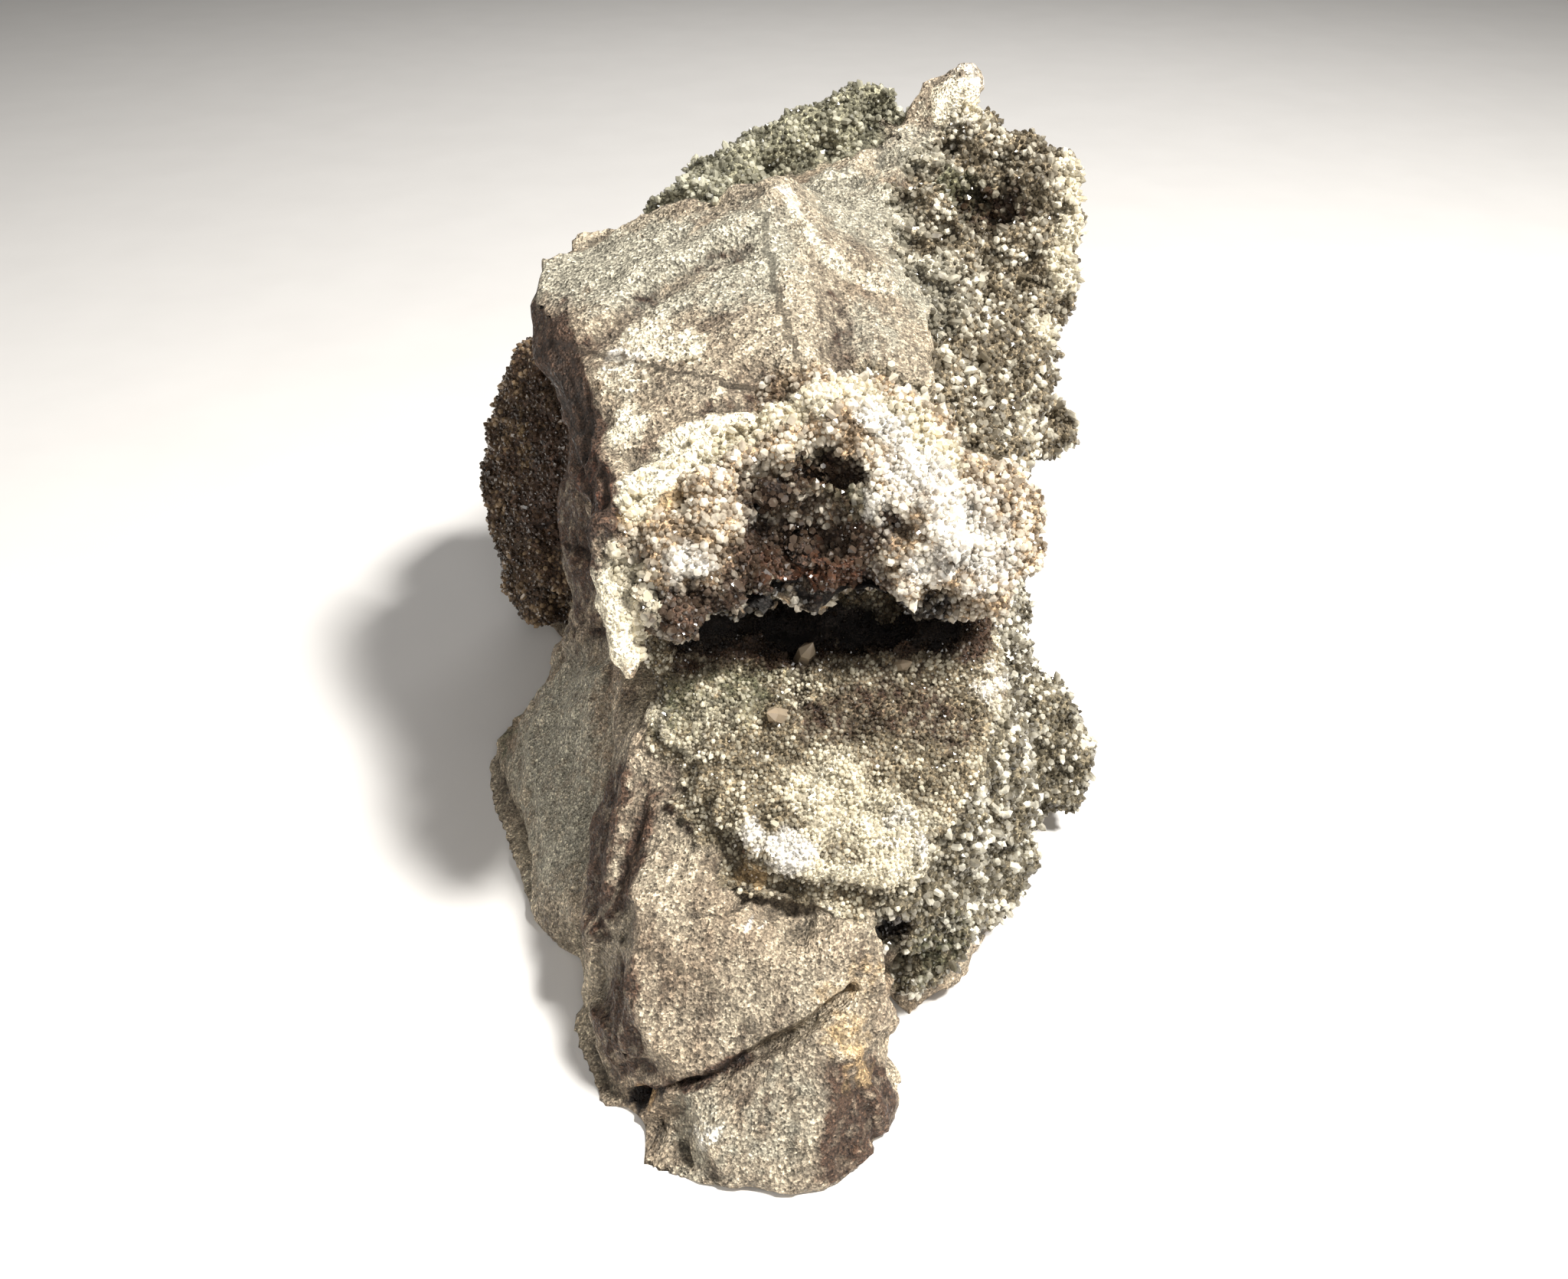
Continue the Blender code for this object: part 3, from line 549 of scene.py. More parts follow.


# Patches of each stain and of the painted shade: a place or a run of places, radius and strength
stainsAndShade = {
    "silver": (
        ((-14, 63, 60), 9, 1), ((-5, 62, 61), 8, 0.9), ((-20, 66, 60), 8, 1),
        ((9, 70, 64), 7, 0.8), ((14, 62, 59), 6, 0.7), ((5, 75, 66), 6, 0.8),
        ((13, 80, 67), 5, 0.7), ((8, 54, 57), 5, 0.5), ((-6.7, 3.5, 3.9), 5, 0.5),
        ((0, 5, 6), 5, 0.4), ((-21, 36, 18), 5, 0.5), ((-26, 48, 13), 13, 0.7),
        ((-24, 38, 9), 9, 0.7),
    ),
    "moss": (
        ((-9.8, 32.6, 29.4), 5, 0.5), ((-4.7, 35, 30.2), 6, 0.5), ((2.4, 38.5, 50), 3.6, 0.7),
        ((5.5, 37.3, 48), 3, 0.8), ((8.2, 36.5, 48.2), 2.4, 0.7), ((19.3, 75.8, 63), 4, 0.8),
        ((14, 19, 10), 5, 0.5), ((-34, 60, 5), 6, 0.4),
    ),
    # umber: partly the rock's dark brown, and partly painted shade along the crevice, under the
    # lip, in its cavities and pits, in cracks and hollows and on the shaded walls
    "umber_and_painted_shade": (
        (((-21, 52, 55.6), (-17, 54, 57.2), (-13.2, 57.9, 58.8), (-8.6, 60, 60.2),
          (-4, 62, 61.8)), 1.7, 0.5),
        (((5, 57, 59.2), (5.4, 54.4, 58.6), (5.7, 49.7, 56.3), (7.6, 43.9, 55.6)), 1.6, 0.5),
        (((-6.5, 43.6, 54.2), (-2.7, 44.6, 54.6), (0.7, 44.4, 55.4)), 1.3, 0.6),
        (((-21.4, 50, 50), (-19.6, 43, 48), (-17.8, 37, 45.5), (-16.8, 33, 43)), 4.6, 1),
        (((-24, 60, 50), (-24, 52, 42), (-21, 42, 38)), 9, 1), ((-25, 66, 44), 12, 1),
        ((-30, 74, 30), 14, 0.9), ((-24, 60, 28), 10, 0.8), ((-2, 46, 55.2), 3.4, 0.5),
        ((-11.5, 39.8, 52), 2.6, 0.4), (((-1.2, 36.6, 49.4), (4.2, 37.6, 50.2)), 3, 0.85),
        ((-4, 35.2, 47), 2.2, 0.6), ((5.6, 36, 47), 2.4, 0.6),
        (((-3, 35, 43.5), (0, 35, 44), (5, 35.5, 43.5)), 4.6, 1),
        (((-9, 37, 33), (0, 40, 33), (10, 40, 33), (18, 39, 33)), 3.6, 1),
        (((-10, 31, 41.5), (-3, 32, 42), (3, 33.4, 41.5), (9, 34, 40)), 2.4, 0.95),
        (((-13.9, 8.5, 2), (-8.9, 7.4, 5.8), (-3.5, 8.5, 8.1)), 1, 0.9), ((11, 35, 29), 5, 0.4),
        ((-12.9, 31.8, 45.5), 1.8, 0.9), ((9.1, 34.3, 46.8), 2.2, 0.7), ((21, 75.3, 62.4), 4, 0.7),
        ((7.4, 5, 3.6), 2.2, 0.6), ((-16, 12, 10), 4, 0.5),
        (((-16, 27, 17), (-17, 22, 12)), 3.6, 0.65),
        (((-11, 29, 24), (-12.5, 22, 18.5)), 2.2, 0.3), ((9.8, 19.3, 13), 3, 0.7),
        (((4, 38, 31), (12, 38, 31)), 5, 0.35),
        (((3.3, 31.6, 28.2), (10.5, 32.4, 29.2), (15.3, 30.6, 28.2)), 3.6, 0.55),
        ((7.4, 27.4, 26.9), 2, 0.35),
    ),
    # soot: painted shade, near black, along the crevice, under the lip's arch, in the toe's hole
    # and cracks, and in pits
    "painted_shade": (
        (((-5, 33, 39), (0, 34.8, 39.3), (3, 35.2, 39), (9, 34.8, 39.2),
          (13.5, 34.6, 38.4)), 2.4, 0.9),
        (((-9, 41, 32), (0, 41.5, 32.3), (10, 41.5, 32.3), (16, 40.5, 32)), 3, 1),
        (((-13.9, 8.5, 2), (-12, 7.5, 3.9)), 1.4, 1),
        (((-8.9, 7.4, 5.8), (-3.5, 8.5, 8.1)), 0.7, 0.6), ((2, 36.4, 43.5), 2.4, 0.7),
        ((-1.6, 37, 46.5), 2.4, 0.6), ((9.8, 19.3, 13), 2.2, 0.8), ((-14.5, 33.5, 45), 1.3, 0.9),
    ),
    "rust": (
        (((-19, 45, 51), (-16.6, 38, 48.6), (-15.4, 33, 46)), 1.6, 0.4),
        ((-4.3, 21.2, 21.8), 1.1, 0.9), ((0.3, 33.9, 43.1), 3.4, 0.5),
        ((4.4, 34.3, 41.5), 3.4, 0.5), ((-19.5, 41, 44), 4, 0.5),
        (((-16, 31, 36), (-17, 34, 31)), 4, 0.6), ((-13, 8, 3.4), 2, 0.5),
    ),
    "ochre": (
        ((-2.7, 20.2, 19.6), 1.8, 0.9), ((5.9, 9.5, 9.7), 2.6, 0.55), ((6.7, 8, 7.3), 2, 0.5),
        ((4.3, 11.9, 12.2), 2, 0.4), ((7.5, 13, 14), 3, 0.35), ((4.5, 24.5, 24.3), 3.5, 0.4),
        ((6.9, 25.1, 24.8), 3.5, 0.3), (((-13.2, 34.6, 48.4), (-9.5, 36.4, 49.6)), 1.8, 0.6),
        ((-13.4, 7.5, 3), 1.6, 0.6), ((-30, 84, 30), 6, 0.4), ((-13, 10, 6), 2, 0.4),
    ),
    "cream": (
        (((-13, 36, 49.6), (-9.3, 39.5, 51.6), (-3.7, 41.6, 53), (2.8, 43, 54.4),
          (6.5, 45, 55.2), (10.4, 42.3, 53.4), (14.5, 40.5, 50.9)), 2.3, 1),
        ((-13, 52.9, 57.6), 2.6, 0.7), ((-9.7, 50.7, 57.1), 2.6, 0.7), ((-15, 48.5, 55), 3, 0.5),
        ((-14.6, 43, 52.8), 2.4, 0.7),
        (((-14.4, 31, 44.5), (-13.8, 29.5, 40), (-14, 29, 37)), 3, 0.8),
        (((0.2, 68.5, 66), (1.6, 65, 64.2), (4, 62, 62.6), (7, 60.4, 60.8),
          (9.6, 59.4, 59.8)), 1.2, 0.5), ((18.7, 84.7, 70.4), 3.8, 0.7),
        (((30, 79, 65), (30.4, 75.8, 62.2), (29, 70, 56)), 2.4, 0.7), ((26.5, 66, 52), 2.6, 0.6),
        (((24.8, 58.8, 47), (25.5, 56, 44)), 2, 0.5),
        (((-12.6, 34, 26.8), (-10.6, 31.4, 26.6), (-8.8, 30, 25.2)), 0.9, 0.9),
        ((10.8, 20, 21.8), 2.2, 0.8), ((4.5, 24.5, 24.3), 5, 0.7), ((9.4, 22.6, 23), 4.4, 0.75),
        (((-2.6, 20.6, 20.4), (7, 19, 20)), 1.2, 0.7), ((20, 33, 27.6), 3, 0.4),
        (((2.4, 18.9, 21), (7.9, 18.6, 20.2), (11.4, 19.4, 19.6)), 1.4, 0.8),
        ((12.4, 21, 21.6), 2, 0.6), ((4.2, 17.8, 16.7), 1.5, 0.5), ((7.3, 15.8, 14.6), 1, 0.6),
        ((-6.7, 31.4, 28.1), 3.4, 0.35),
    ),
    "white": (
        ((12.1, 36.9, 50.4), 4.5, 0.75), ((15.2, 34.9, 48.1), 4.5, 0.75),
        ((8.3, 35.7, 48.7), 2, 0.6), ((18.1, 33.4, 44.4), 4, 0.7), ((13, 32.5, 44), 3, 0.6),
        ((-8.2, 32, 45.6), 2.2, 0.7), (((3, 43, 54), (7, 43.6, 54.4), (11, 40, 52.6)), 1.6, 0.9),
        ((-0.1, 20.5, 21.9), 2.6, 1), ((-3, 22, 22.5), 1.6, 0.8), ((10, 22.4, 24), 1.6, 0.5),
        ((12.6, 21, 22), 1.3, 0.6), ((19.1, 34.2, 28.7), 2.6, 0.4), ((20.3, 36.4, 29), 2.6, 0.4),
        ((20.5, 86.5, 73), 3, 0.35), ((19, 83, 69), 2, 0.4), ((0, 68.2, 66), 1, 0.7),
        ((-6.7, 3.5, 3.9), 2, 0.3), ((-3.3, 15.9, 16.3), 0.5, 0.8),
        ((-2.3, 15.6, 16.2), 0.35, 0.8), ((-15, 50.5, 56.4), 2.6, 0.3),
    ),
}

# Walls darkened all over, partly the rock's brown and partly painted shade: place, radius, the way
# the wall faces and strength
walls = {
    "umber_and_painted_shade": (
        ((6.5, 5, 4), 7, (0.75, -0.55, 0.36), 0.75), ((-15, 11, 9), 8, (-0.75, -0.55, 0.35), 0.7),
        ((-15.5, 26, 18), 9, (-0.9, -0.28, 0.34), 0.75), ((-16, 33, 41), 6, (-0.95, -0.2, 0), 0.8),
    ),
}

# On one side of an upright plane, the head's left wall is darkened all over, partly its own brown
# and partly painted shade: place, radius, the plane and strength
sides = {
    "umber_and_painted_shade": (((-20.5, 46, 50), 17, ((-16.9, 43.2, 52.3), (-0.96, -0.28, 0)), 1),),
    "painted_shade": (((-21, 44, 48), 15, ((-18.3, 43.2, 52.3), (-0.96, -0.28, 0)), 0.45),),
    "rust": (((-17, 38.5, 49), 5, ((-17, 43.2, 52.3), (-0.97, -0.25, 0)), 0.25),),
}

stainAndShadeEdges = {
    "patch": (1.35, 0.35),  # shares of a patch's radius where its colour starts and is full
    "ragged": 0.4,          # wander of its edge, as a share of the radius
    "ball": 0.75,           # share of a wall's radius from which its colour fades
    "facing": (0.6, 0.82),  # how well a wall has to face the given way: for a trace, for all
    "plane": 0.5,           # half width of the soft edge at a plane, and its wander
}


def patchesOn(points, patches, ragged):  # how strong each patch is at each point
    for spots, radius, strength in patches:
        reach = distanceTo if isinstance(spots[0], tuple) else farFrom
        far = reach(points, spots) / radius + ragged * stainAndShadeEdges["ragged"]
        yield strength * smooth(far, *stainAndShadeEdges["patch"])


def ballOn(points, spot, radius):
    return smooth(farFrom(points, spot), radius, stainAndShadeEdges["ball"] * radius)


def wallsOn(points, patches, normals):
    for spot, radius, facing, strength in patches:
        facing = smooth(normals @ unit(facing), *stainAndShadeEdges["facing"])
        yield strength * ballOn(points, spot, radius) * facing


def sidesOn(points, patches, ragged):
    half = stainAndShadeEdges["plane"]
    for spot, radius, plane, strength in patches:
        beyond = smooth(side(points, plane) + half * ragged, -half, half)
        yield strength * ballOn(points, spot, radius) * beyond


# Each druse: the solid it stands for and the plane that parts it from its neighbour there; its
# crystals' spacing and width, their length in widths, their tilt and the height of their lumps;
# the deep and the bright colour, how clear they are and how rare the bright ones are; and
# patches where it grows as well
druses = {
    "lip_druse": {
        "node": "upper_druzy_crust", "plane": ((16, 46, 50), (-0.2, -1, 0.1)),
        "spacing": 0.46, "width": (0.45, 0.95), "length": (0.5, 1.0), "tilt": 30, "lumps": 1.3,
        "deep": (0.33, 0.235, 0.145), "bright": (0.92, 0.85, 0.71), "clear": 0.25, "rare": 1.2,
        "also": ((((-12.5, 31, 44), (-11.5, 30.5, 38)), 2.6, 0.8), ((-15, 48.2, 54.7), 3.4, 0.2),
                 ((-10, 50.6, 57), 2.6, 0.2), (((-12, 37, 50), (-7, 40.5, 52.4)), 1.6, 0.3),
                 ((-12.5, 29.5, 35.5), 1.6, 0.5)),
    },
    "head_flank_druse": {
        "node": "upper_druzy_crust", "plane": ((16, 46, 50), (0.2, 1, -0.1)),
        "spacing": 0.5, "width": (0.42, 0.95), "length": (0.55, 1.1), "tilt": 26, "lumps": 1.6,
        "deep": (0.165, 0.132, 0.085), "bright": (0.88, 0.83, 0.69), "clear": 0.25, "rare": 2.8,
    },
    "shelf_druse": {
        "node": "lower_druzy_crust", "plane": ((20.5, 33, 28), (-0.62, -0.1, 0.78)),
        "spacing": 0.36, "width": (0.32, 0.6), "length": (0.5, 1.0), "tilt": 30, "lumps": 0.5,
        "deep": (0.17, 0.135, 0.085), "bright": (0.80, 0.74, 0.58), "clear": 0.2, "rare": 1.7,
    },
    "lower_flank_druse": {
        "node": "lower_druzy_crust", "plane": ((20.5, 33, 28), (0.62, 0.1, -0.78)),
        "spacing": 0.5, "width": (0.42, 0.95), "length": (0.55, 1.1), "tilt": 26, "lumps": 1.1,
        "deep": (0.155, 0.13, 0.085), "bright": (0.88, 0.84, 0.71), "clear": 0.25, "rare": 3.0,
    },
    "top_druse": {
        "node": "top_druzy_crust", "plane": None,
        "spacing": 0.55, "width": (0.45, 0.9), "length": (0.5, 1.0), "tilt": 26, "lumps": 0.7,
        "deep": (0.18, 0.17, 0.115), "bright": (0.60, 0.58, 0.46), "clear": 0.25, "rare": 1.7,
    },
    "rear_druse": {
        "node": "rear_druzy_crust", "plane": ((-25, 66, 53), (0, 0, -1)),
        "spacing": 0.55, "width": (0.45, 0.9), "length": (0.4, 0.9), "tilt": 26, "lumps": 0.8,
        # its deep and bright colours are dark: partly its own brown, partly painted shade, as the
        # rear lies in shade
        "deep": (0.06, 0.036, 0.021), "bright": (0.31, 0.22, 0.135), "clear": 0.2, "rare": 1.9,
    },
}

# Where no crystals grow: a run of places, radius and strength
bareSpots = (
    (((-4.5, 33.4, 38.4), (0, 35, 38.4), (3, 35.4, 38.2), (9, 35, 38.4), (13, 34.8, 38)), 1.2, 1),
    (((-9, 41, 31.8), (0, 41.5, 32), (10, 41.5, 32), (16, 40.5, 32)), 1.8, 1),
)


def distanceToNode(points, name):  # in mm, up to as far as it matters
    work = mergedCopy(name)
    tree = BVHTree.FromBMesh(work)
    work.free()
    far = body["reach"][0] + 2 * body["ragged"]
    found = [tree.find_nearest(place(point), far * mm)[3] for point in points]
    return np.array([far if distance is None else distance / mm for distance in found])


def growth(points, ragged):  # how much of each druse grows at each point
    bare = np.max([*patchesOn(points, bareSpots, ragged)], axis=0)
    reaches = {}
    result = {}
    for name, druse in druses.items():
        node = druse["node"]
        if node not in reaches:
            distance = distanceToNode(points, node) + ragged * body["ragged"]
            reaches[node] = smooth(distance, *body["reach"])
        result[name] = reaches[node]
        if druse["plane"]:
            edge = side(points, druse["plane"]) + ragged
            result[name] = reaches[node] * smooth(edge, -body["meeting"], body["meeting"])
        also = patchesOn(points, druse.get("also", ()), ragged)
        result[name] = np.max([result[name], *also], axis=0) * (1 - bare)
    return result


def shapedBody():  # the rock with all its relief, and the values that the materials read
    mesh = fusedBody()
    sayTriangles("fused body", mesh)
    gaping = [path for path, width, _ in cracks.values() if width > splitting["hairline"]]
    mesh = finerAt(mesh, gaping)
    points = coordinates(mesh)
    broad, small = body["wander"]
    ragged = noiseOf(points, broad, 1) + 0.5 * noiseOf(points, small, 2)
    grown = growth(points, ragged)
    druse = np.max(list(grown.values()), axis=0)
    foot = smooth(points[:, 2], *body["foot"])  # 0 on the level underside
    bare = (1 - druse) * foot
    cut = squared(points, bare)
    moveTo(mesh, cut)
    facing = normalsOf(mesh)
    reached = np.maximum(foot, smooth(points[:, 1], *body["back"]))
    cut = chiselled(cut, facing, bare, (1 - druse) * reached)
    cut[:, 2] = points[:, 2] + (cut[:, 2] - points[:, 2]) * foot
    moveTo(mesh, cut)
    foot = foot[:, None]
    moved = cut + normalsOf(mesh) * formOf(points)[:, None] * foot
    moveTo(mesh, moved)
    moved += normalsOf(mesh) * reliefOf(moved, druse, grown)[:, None] * foot
    for path, width, depth in cracks.values():
        far = distanceTo(points + crackWander * ragged[:, None], path)
        moved -= normalsOf(mesh) * (depth * smooth(far, width, 0))[:, None]
    moved[:, 2] = np.maximum(moved[:, 2], 0)
    moveTo(mesh, moved)
    setValues(mesh, "hollow", hollowsOf(mesh, moved))
    setValues(mesh, "druse", druse)
    setValues(mesh, "lay", layOf(points), "FLOAT_VECTOR", "vector")
    for name, share in grown.items():
        setValues(mesh, name, share)
    # stains and painted shade, kept on the mesh for the materials
    for mark, patches in stainsAndShade.items():
        shares = [
            *patchesOn(points, patches, ragged),
            *wallsOn(points, walls.get(mark, ()), facing),
            *sidesOn(points, sides.get(mark, ()), ragged),
        ]
        setValues(mesh, mark, np.max(shares, axis=0))
    sayTriangles("shaped body", mesh)
    return mesh


class Nodes:  # short ways to place and join nodes
    def __init__(self, tree):
        self.tree = tree

    def join(self, value, socket):
        self.tree.links.new(value, socket)

    def add(self, kind, values=(), **settings):
        node = self.tree.nodes.new(kind)
        for key, value in settings.items():
            setattr(node, key, value)
        for key, value in dict(values).items():
            if isinstance(value, bpy.types.NodeSocket):
                self.join(value, node.inputs[key])
            else:
                node.inputs[key].default_value = value
        return node

    def places(self):
        return self.add("ShaderNodeTexCoord").outputs["Object"]

    def painted(self, name, kind="Fac"):  # what the mesh holds under this name
        return self.add("ShaderNodeAttribute", attribute_name=name).outputs[kind]

    def noise(self, places, scale, detail, roughness=0.5):
        values = {"Vector": places, "Scale": scale, "Detail": detail, "Roughness": roughness}
        return self.add("ShaderNodeTexNoise", values).outputs["Fac"]

    def math(self, operation, *values):
        return self.add("ShaderNodeMath", enumerate(values), operation=operation).outputs[0]

    def vector(self, operation, values):
        return self.add("ShaderNodeVectorMath", values, operation=operation).outputs[0]

    def mixed(self, share, first, second, blend="MIX"):
        values = {"Factor": share, 6: first, 7: second}
        node = self.add("ShaderNodeMix", values, data_type="RGBA", blend_type=blend)
        return node.outputs[2]

    def dimmed(self, colour, share):  # or brightened, where the share is above 1
        grey = self.add("ShaderNodeCombineColor", {0: share, 1: share, 2: share}).outputs[0]
        return self.mixed(1.0, colour, grey, "MULTIPLY")

    def stretched(self, value, low, high, start=0.0, end=1.0):
        ends = {"From Min": low, "From Max": high, "To Min": start, "To Max": end}
        return self.add("ShaderNodeMapRange", {"Value": value, **ends}).outputs["Result"]

    def random(self, kind, low, high, seed):
        chance = self.add("FunctionNodeRandomValue", {"Seed": seed}, data_type=kind)
        for socket, value in zip((one for one in chance.inputs if one.enabled), (low, high)):
            socket.default_value = value
        return next(socket for socket in chance.outputs if socket.enabled)


def newGroup(name, inputs, outputs, kind="ShaderNodeTree"):
    tree = bpy.data.node_groups.new(name, kind)
    for sockets, way in ((inputs, "INPUT"), (outputs, "OUTPUT")):
        for socket, value in sockets.items():
            tree.interface.new_socket(socket, in_out=way, socket_type="NodeSocket" + value)
    nodes = Nodes(tree)
    return nodes, nodes.add("NodeGroupInput").outputs, nodes.add("NodeGroupOutput").inputs


# Quartz points, one unit wide: height of the shoulder and of the tip above it, and the tip's lean
quartzForms = {
    "plain": (0.5, 0.42, (0, 0)),
    "slant": (0.4, 0.45, (0.18, 0.06)),
    "stubby": (0.3, 0.4, (-0.1, 0.12)),
    "long": (0.75, 0.5, (0.08, -0.14)),
}
quartzWaist = {"segments": 6, "radius1": 0.5, "radius2": 0.44}
quartzFoot = 0.35          # how deep a crystal stands in the ground

crystals = {               # how they stand in every druse
    "crowding": 3,         # tries on each square of the spacing
    "rareWide": 2.2,       # the higher, the fewer wide ones
    "wideLift": 0.5,       # how much lighter the widest are
    "lift": 0.6,           # how much lighter any one may be
    "least": 0.02,         # where a druse is weaker than this, none stand
}


def quartzPoint(name):
    shoulder, tip, lean = quartzForms[name]
    work = bmesh.new()
    tall = shoulder + quartzFoot
    bmesh.ops.create_cone(work, cap_ends=True, depth=tall, **quartzWaist)
    bmesh.ops.translate(work, verts=work.verts, vec=(0, 0, tall / 2 - quartzFoot))
    top = max(work.faces, key=lambda face: face.calc_center_median().z)
    for vert in bmesh.ops.poke(work, faces=[top])["verts"]:
        vert.co += Vector((*lean, tip))
    bmesh.ops.recalc_face_normals(work, faces=work.faces)
    return bpy.data.objects.new(name, meshOf(work, name))


def quartzShelf():  # the crystal forms, in a collection of their own
    shelf = bpy.data.collections.new("quartzForms")
    for name in quartzForms:
        shelf.objects.link(quartzPoint(name))
    return shelf


def druseNodes(name, druse, shelf):  # spreads crystals over the ground and joins them
    skin = {"Geometry": "Geometry"}
    nodes, given, put = newGroup(name, skin, skin, "GeometryNodeTree")
    grown = nodes.add("GeometryNodeInputNamedAttribute", {"Name": name}, data_type="FLOAT")
    spacing = druse["spacing"] * mm
    spread = nodes.add("GeometryNodeDistributePointsOnFaces", {
        "Mesh": given["Geometry"], "Distance Min": spacing,
        "Density Max": crystals["crowding"] / spacing ** 2,
        "Density Factor": grown.outputs["Attribute"], "Seed": len(name),
    }, distribute_method="POISSON").outputs
    kinds = nodes.add("GeometryNodeCollectionInfo", {
        "Collection": shelf, "Separate Children": True, "Reset Children": True,
    })
    tilt = math.radians(druse["tilt"])
    turn = nodes.random("FLOAT_VECTOR", (-tilt, -tilt, 0), (tilt, tilt, math.tau), 1)
    facing = nodes.add("FunctionNodeRotateRotation", {
        "Rotation": spread["Rotation"], "Rotate By": turn,
    }, rotation_space="LOCAL")
    rare = nodes.math("POWER", nodes.random("FLOAT", 0, 1, 2), crystals["rareWide"])
    width = nodes.stretched(rare, 0, 1, *(value * mm for value in druse["width"]))
    length = nodes.math("MULTIPLY", width, nodes.random("FLOAT", *druse["length"], 3))
    size = nodes.add("ShaderNodeCombineXYZ", {"X": width, "Y": width, "Z": length})
    stood = nodes.add("GeometryNodeInstanceOnPoints", {
        "Points": spread["Points"], "Instance": kinds.outputs["Instances"],
        "Pick Instance": True,
        "Instance Index": nodes.random("INT", 0, len(quartzForms) - 1, 4),
        "Rotation": facing.outputs["Rotation"], "Scale": size.outputs["Vector"],
    })
    lift = nodes.random("FLOAT", 0, crystals["lift"], 5)
    shaded = nodes.add("GeometryNodeStoreNamedAttribute", {
        "Geometry": stood.outputs["Instances"], "Name": "shade",
        "Value": nodes.math("MULTIPLY_ADD", rare, crystals["wideLift"], lift),
    }, data_type="FLOAT", domain="INSTANCE")
    real = nodes.add("GeometryNodeRealizeInstances", {"Geometry": shaded.outputs["Geometry"]})
    nodes.join(real.outputs["Geometry"], put["Geometry"])
    return nodes.tree


# Crystals that stand alone: place, the way they point, width and length in mm
loneCrystals = (
    ((2, 38.3, 30.4), (0.15, -0.5, 0.85), 2.0, 3.6),
    ((-0.4, 31.1, 28.8), (-0.6, -0.5, 0.6), 1.7, 2.8),
    ((11, 36, 31), (0.5, -0.6, 0.6), 1.3, 2.2),
)
loneForm = "slant"
loneLook = {
    "Base Color": (0.62, 0.50, 0.36, 1), "Transmission Weight": 0.5, "Roughness": 0.12,
    "IOR": 1.544,
}


def lonePiece(shelf):  # crystals that stand alone on the shelf
    work = bmesh.new()
    for spot, facing, width, length in loneCrystals:
        before = len(work.verts)
        work.from_mesh(shelf.objects[loneForm].data)
        work.verts.ensure_lookup_table()
        turn = Vector(facing).to_track_quat("Z", "Y").to_matrix().to_4x4()
        size = Matrix.Diagonal((width * mm, width * mm, length * mm, 1))
        move = Matrix.Translation(place(spot))
        bmesh.ops.transform(work, matrix=move @ turn @ size, verts=work.verts[before:])
    return newObject("lone_crystals", meshOf(work, "lone_crystals"))


def ground(mesh, name):  # the faces that a druse grows on
    work = opened(mesh)
    layer = work.verts.layers.float[name]
    least = crystals["least"]
    bare = [face for face in work.faces if max(vert[layer] for vert in face.verts) < least]
    bmesh.ops.delete(work, geom=bare, context="FACES")
    return meshOf(work, name)


def drusePiece(mesh, name, druse, shelf):
    tree = druseNodes(name, druse, shelf)
    grown = applied(ground(mesh, name), ("NODES", {"node_group": tree}))
    sayTriangles(name, grown)
    return newObject(name, grown)


stainAndShadeColours = {
    "silver": (0.35, 0.325, 0.255),
    "moss": (0.12, 0.12, 0.07),
    # umber is partly the rock's dark brown and partly painted shade
    "umber_and_painted_shade": (0.062, 0.036, 0.023),
    # soot is painted shade: near black where the rock lies in deep shade
    "painted_shade": (0.014, 0.010, 0.008),
    "rust": (0.15, 0.062, 0.034),
    "ochre": (0.44, 0.31, 0.165),
    "cream": (0.80, 0.73, 0.56),
    "white": (0.94, 0.90, 0.82),
}
stainAndShadeLook = {
    "noise": (900, 4),     # scale and detail of what breaks it up
    "broken": (0.3, 0.7, -0.3, 0.3),
    "edge": (0.2, 0.75),   # mark where it starts to cover, and where it covers all
    "trace": (0, 0.25),    # under this it fades out
}


def stainAndShadeGroup():  # lays the stains and the painted shade over a colour, broken up by noise
    nodes, given, put = newGroup(
        "stainsAndShade", {"Color": "Color", "Strength": "Float"}, {"Color": "Color"}
    )
    noise = nodes.noise(nodes.places(), *stainAndShadeLook["noise"])
    colour = given["Color"]
    for name, tint in stainAndShadeColours.items():
        mark = nodes.painted(name)
        ragged = nodes.math("ADD", mark, nodes.stretched(noise, *stainAndShadeLook["broken"]))
        covered = nodes.stretched(ragged, *stainAndShadeLook["edge"])
        share = nodes.math("MULTIPLY", covered, nodes.stretched(mark, *stainAndShadeLook["trace"]))
        share = nodes.math("MULTIPLY", share, given["Strength"])
        colour = nodes.mixed(share, colour, (*tint, 1))
    nodes.join(colour, put["Color"])
    return nodes.tree


grainLook = {
    "dark": (0.0, 0.4, -0.6, 0.0),   # chance below which a grain is darker, and by how much
    "light": (0.6, 1.0, 0.0, 1.3),   # chance above which it is lighter
    "glossy": (0.75, 0.95),
}


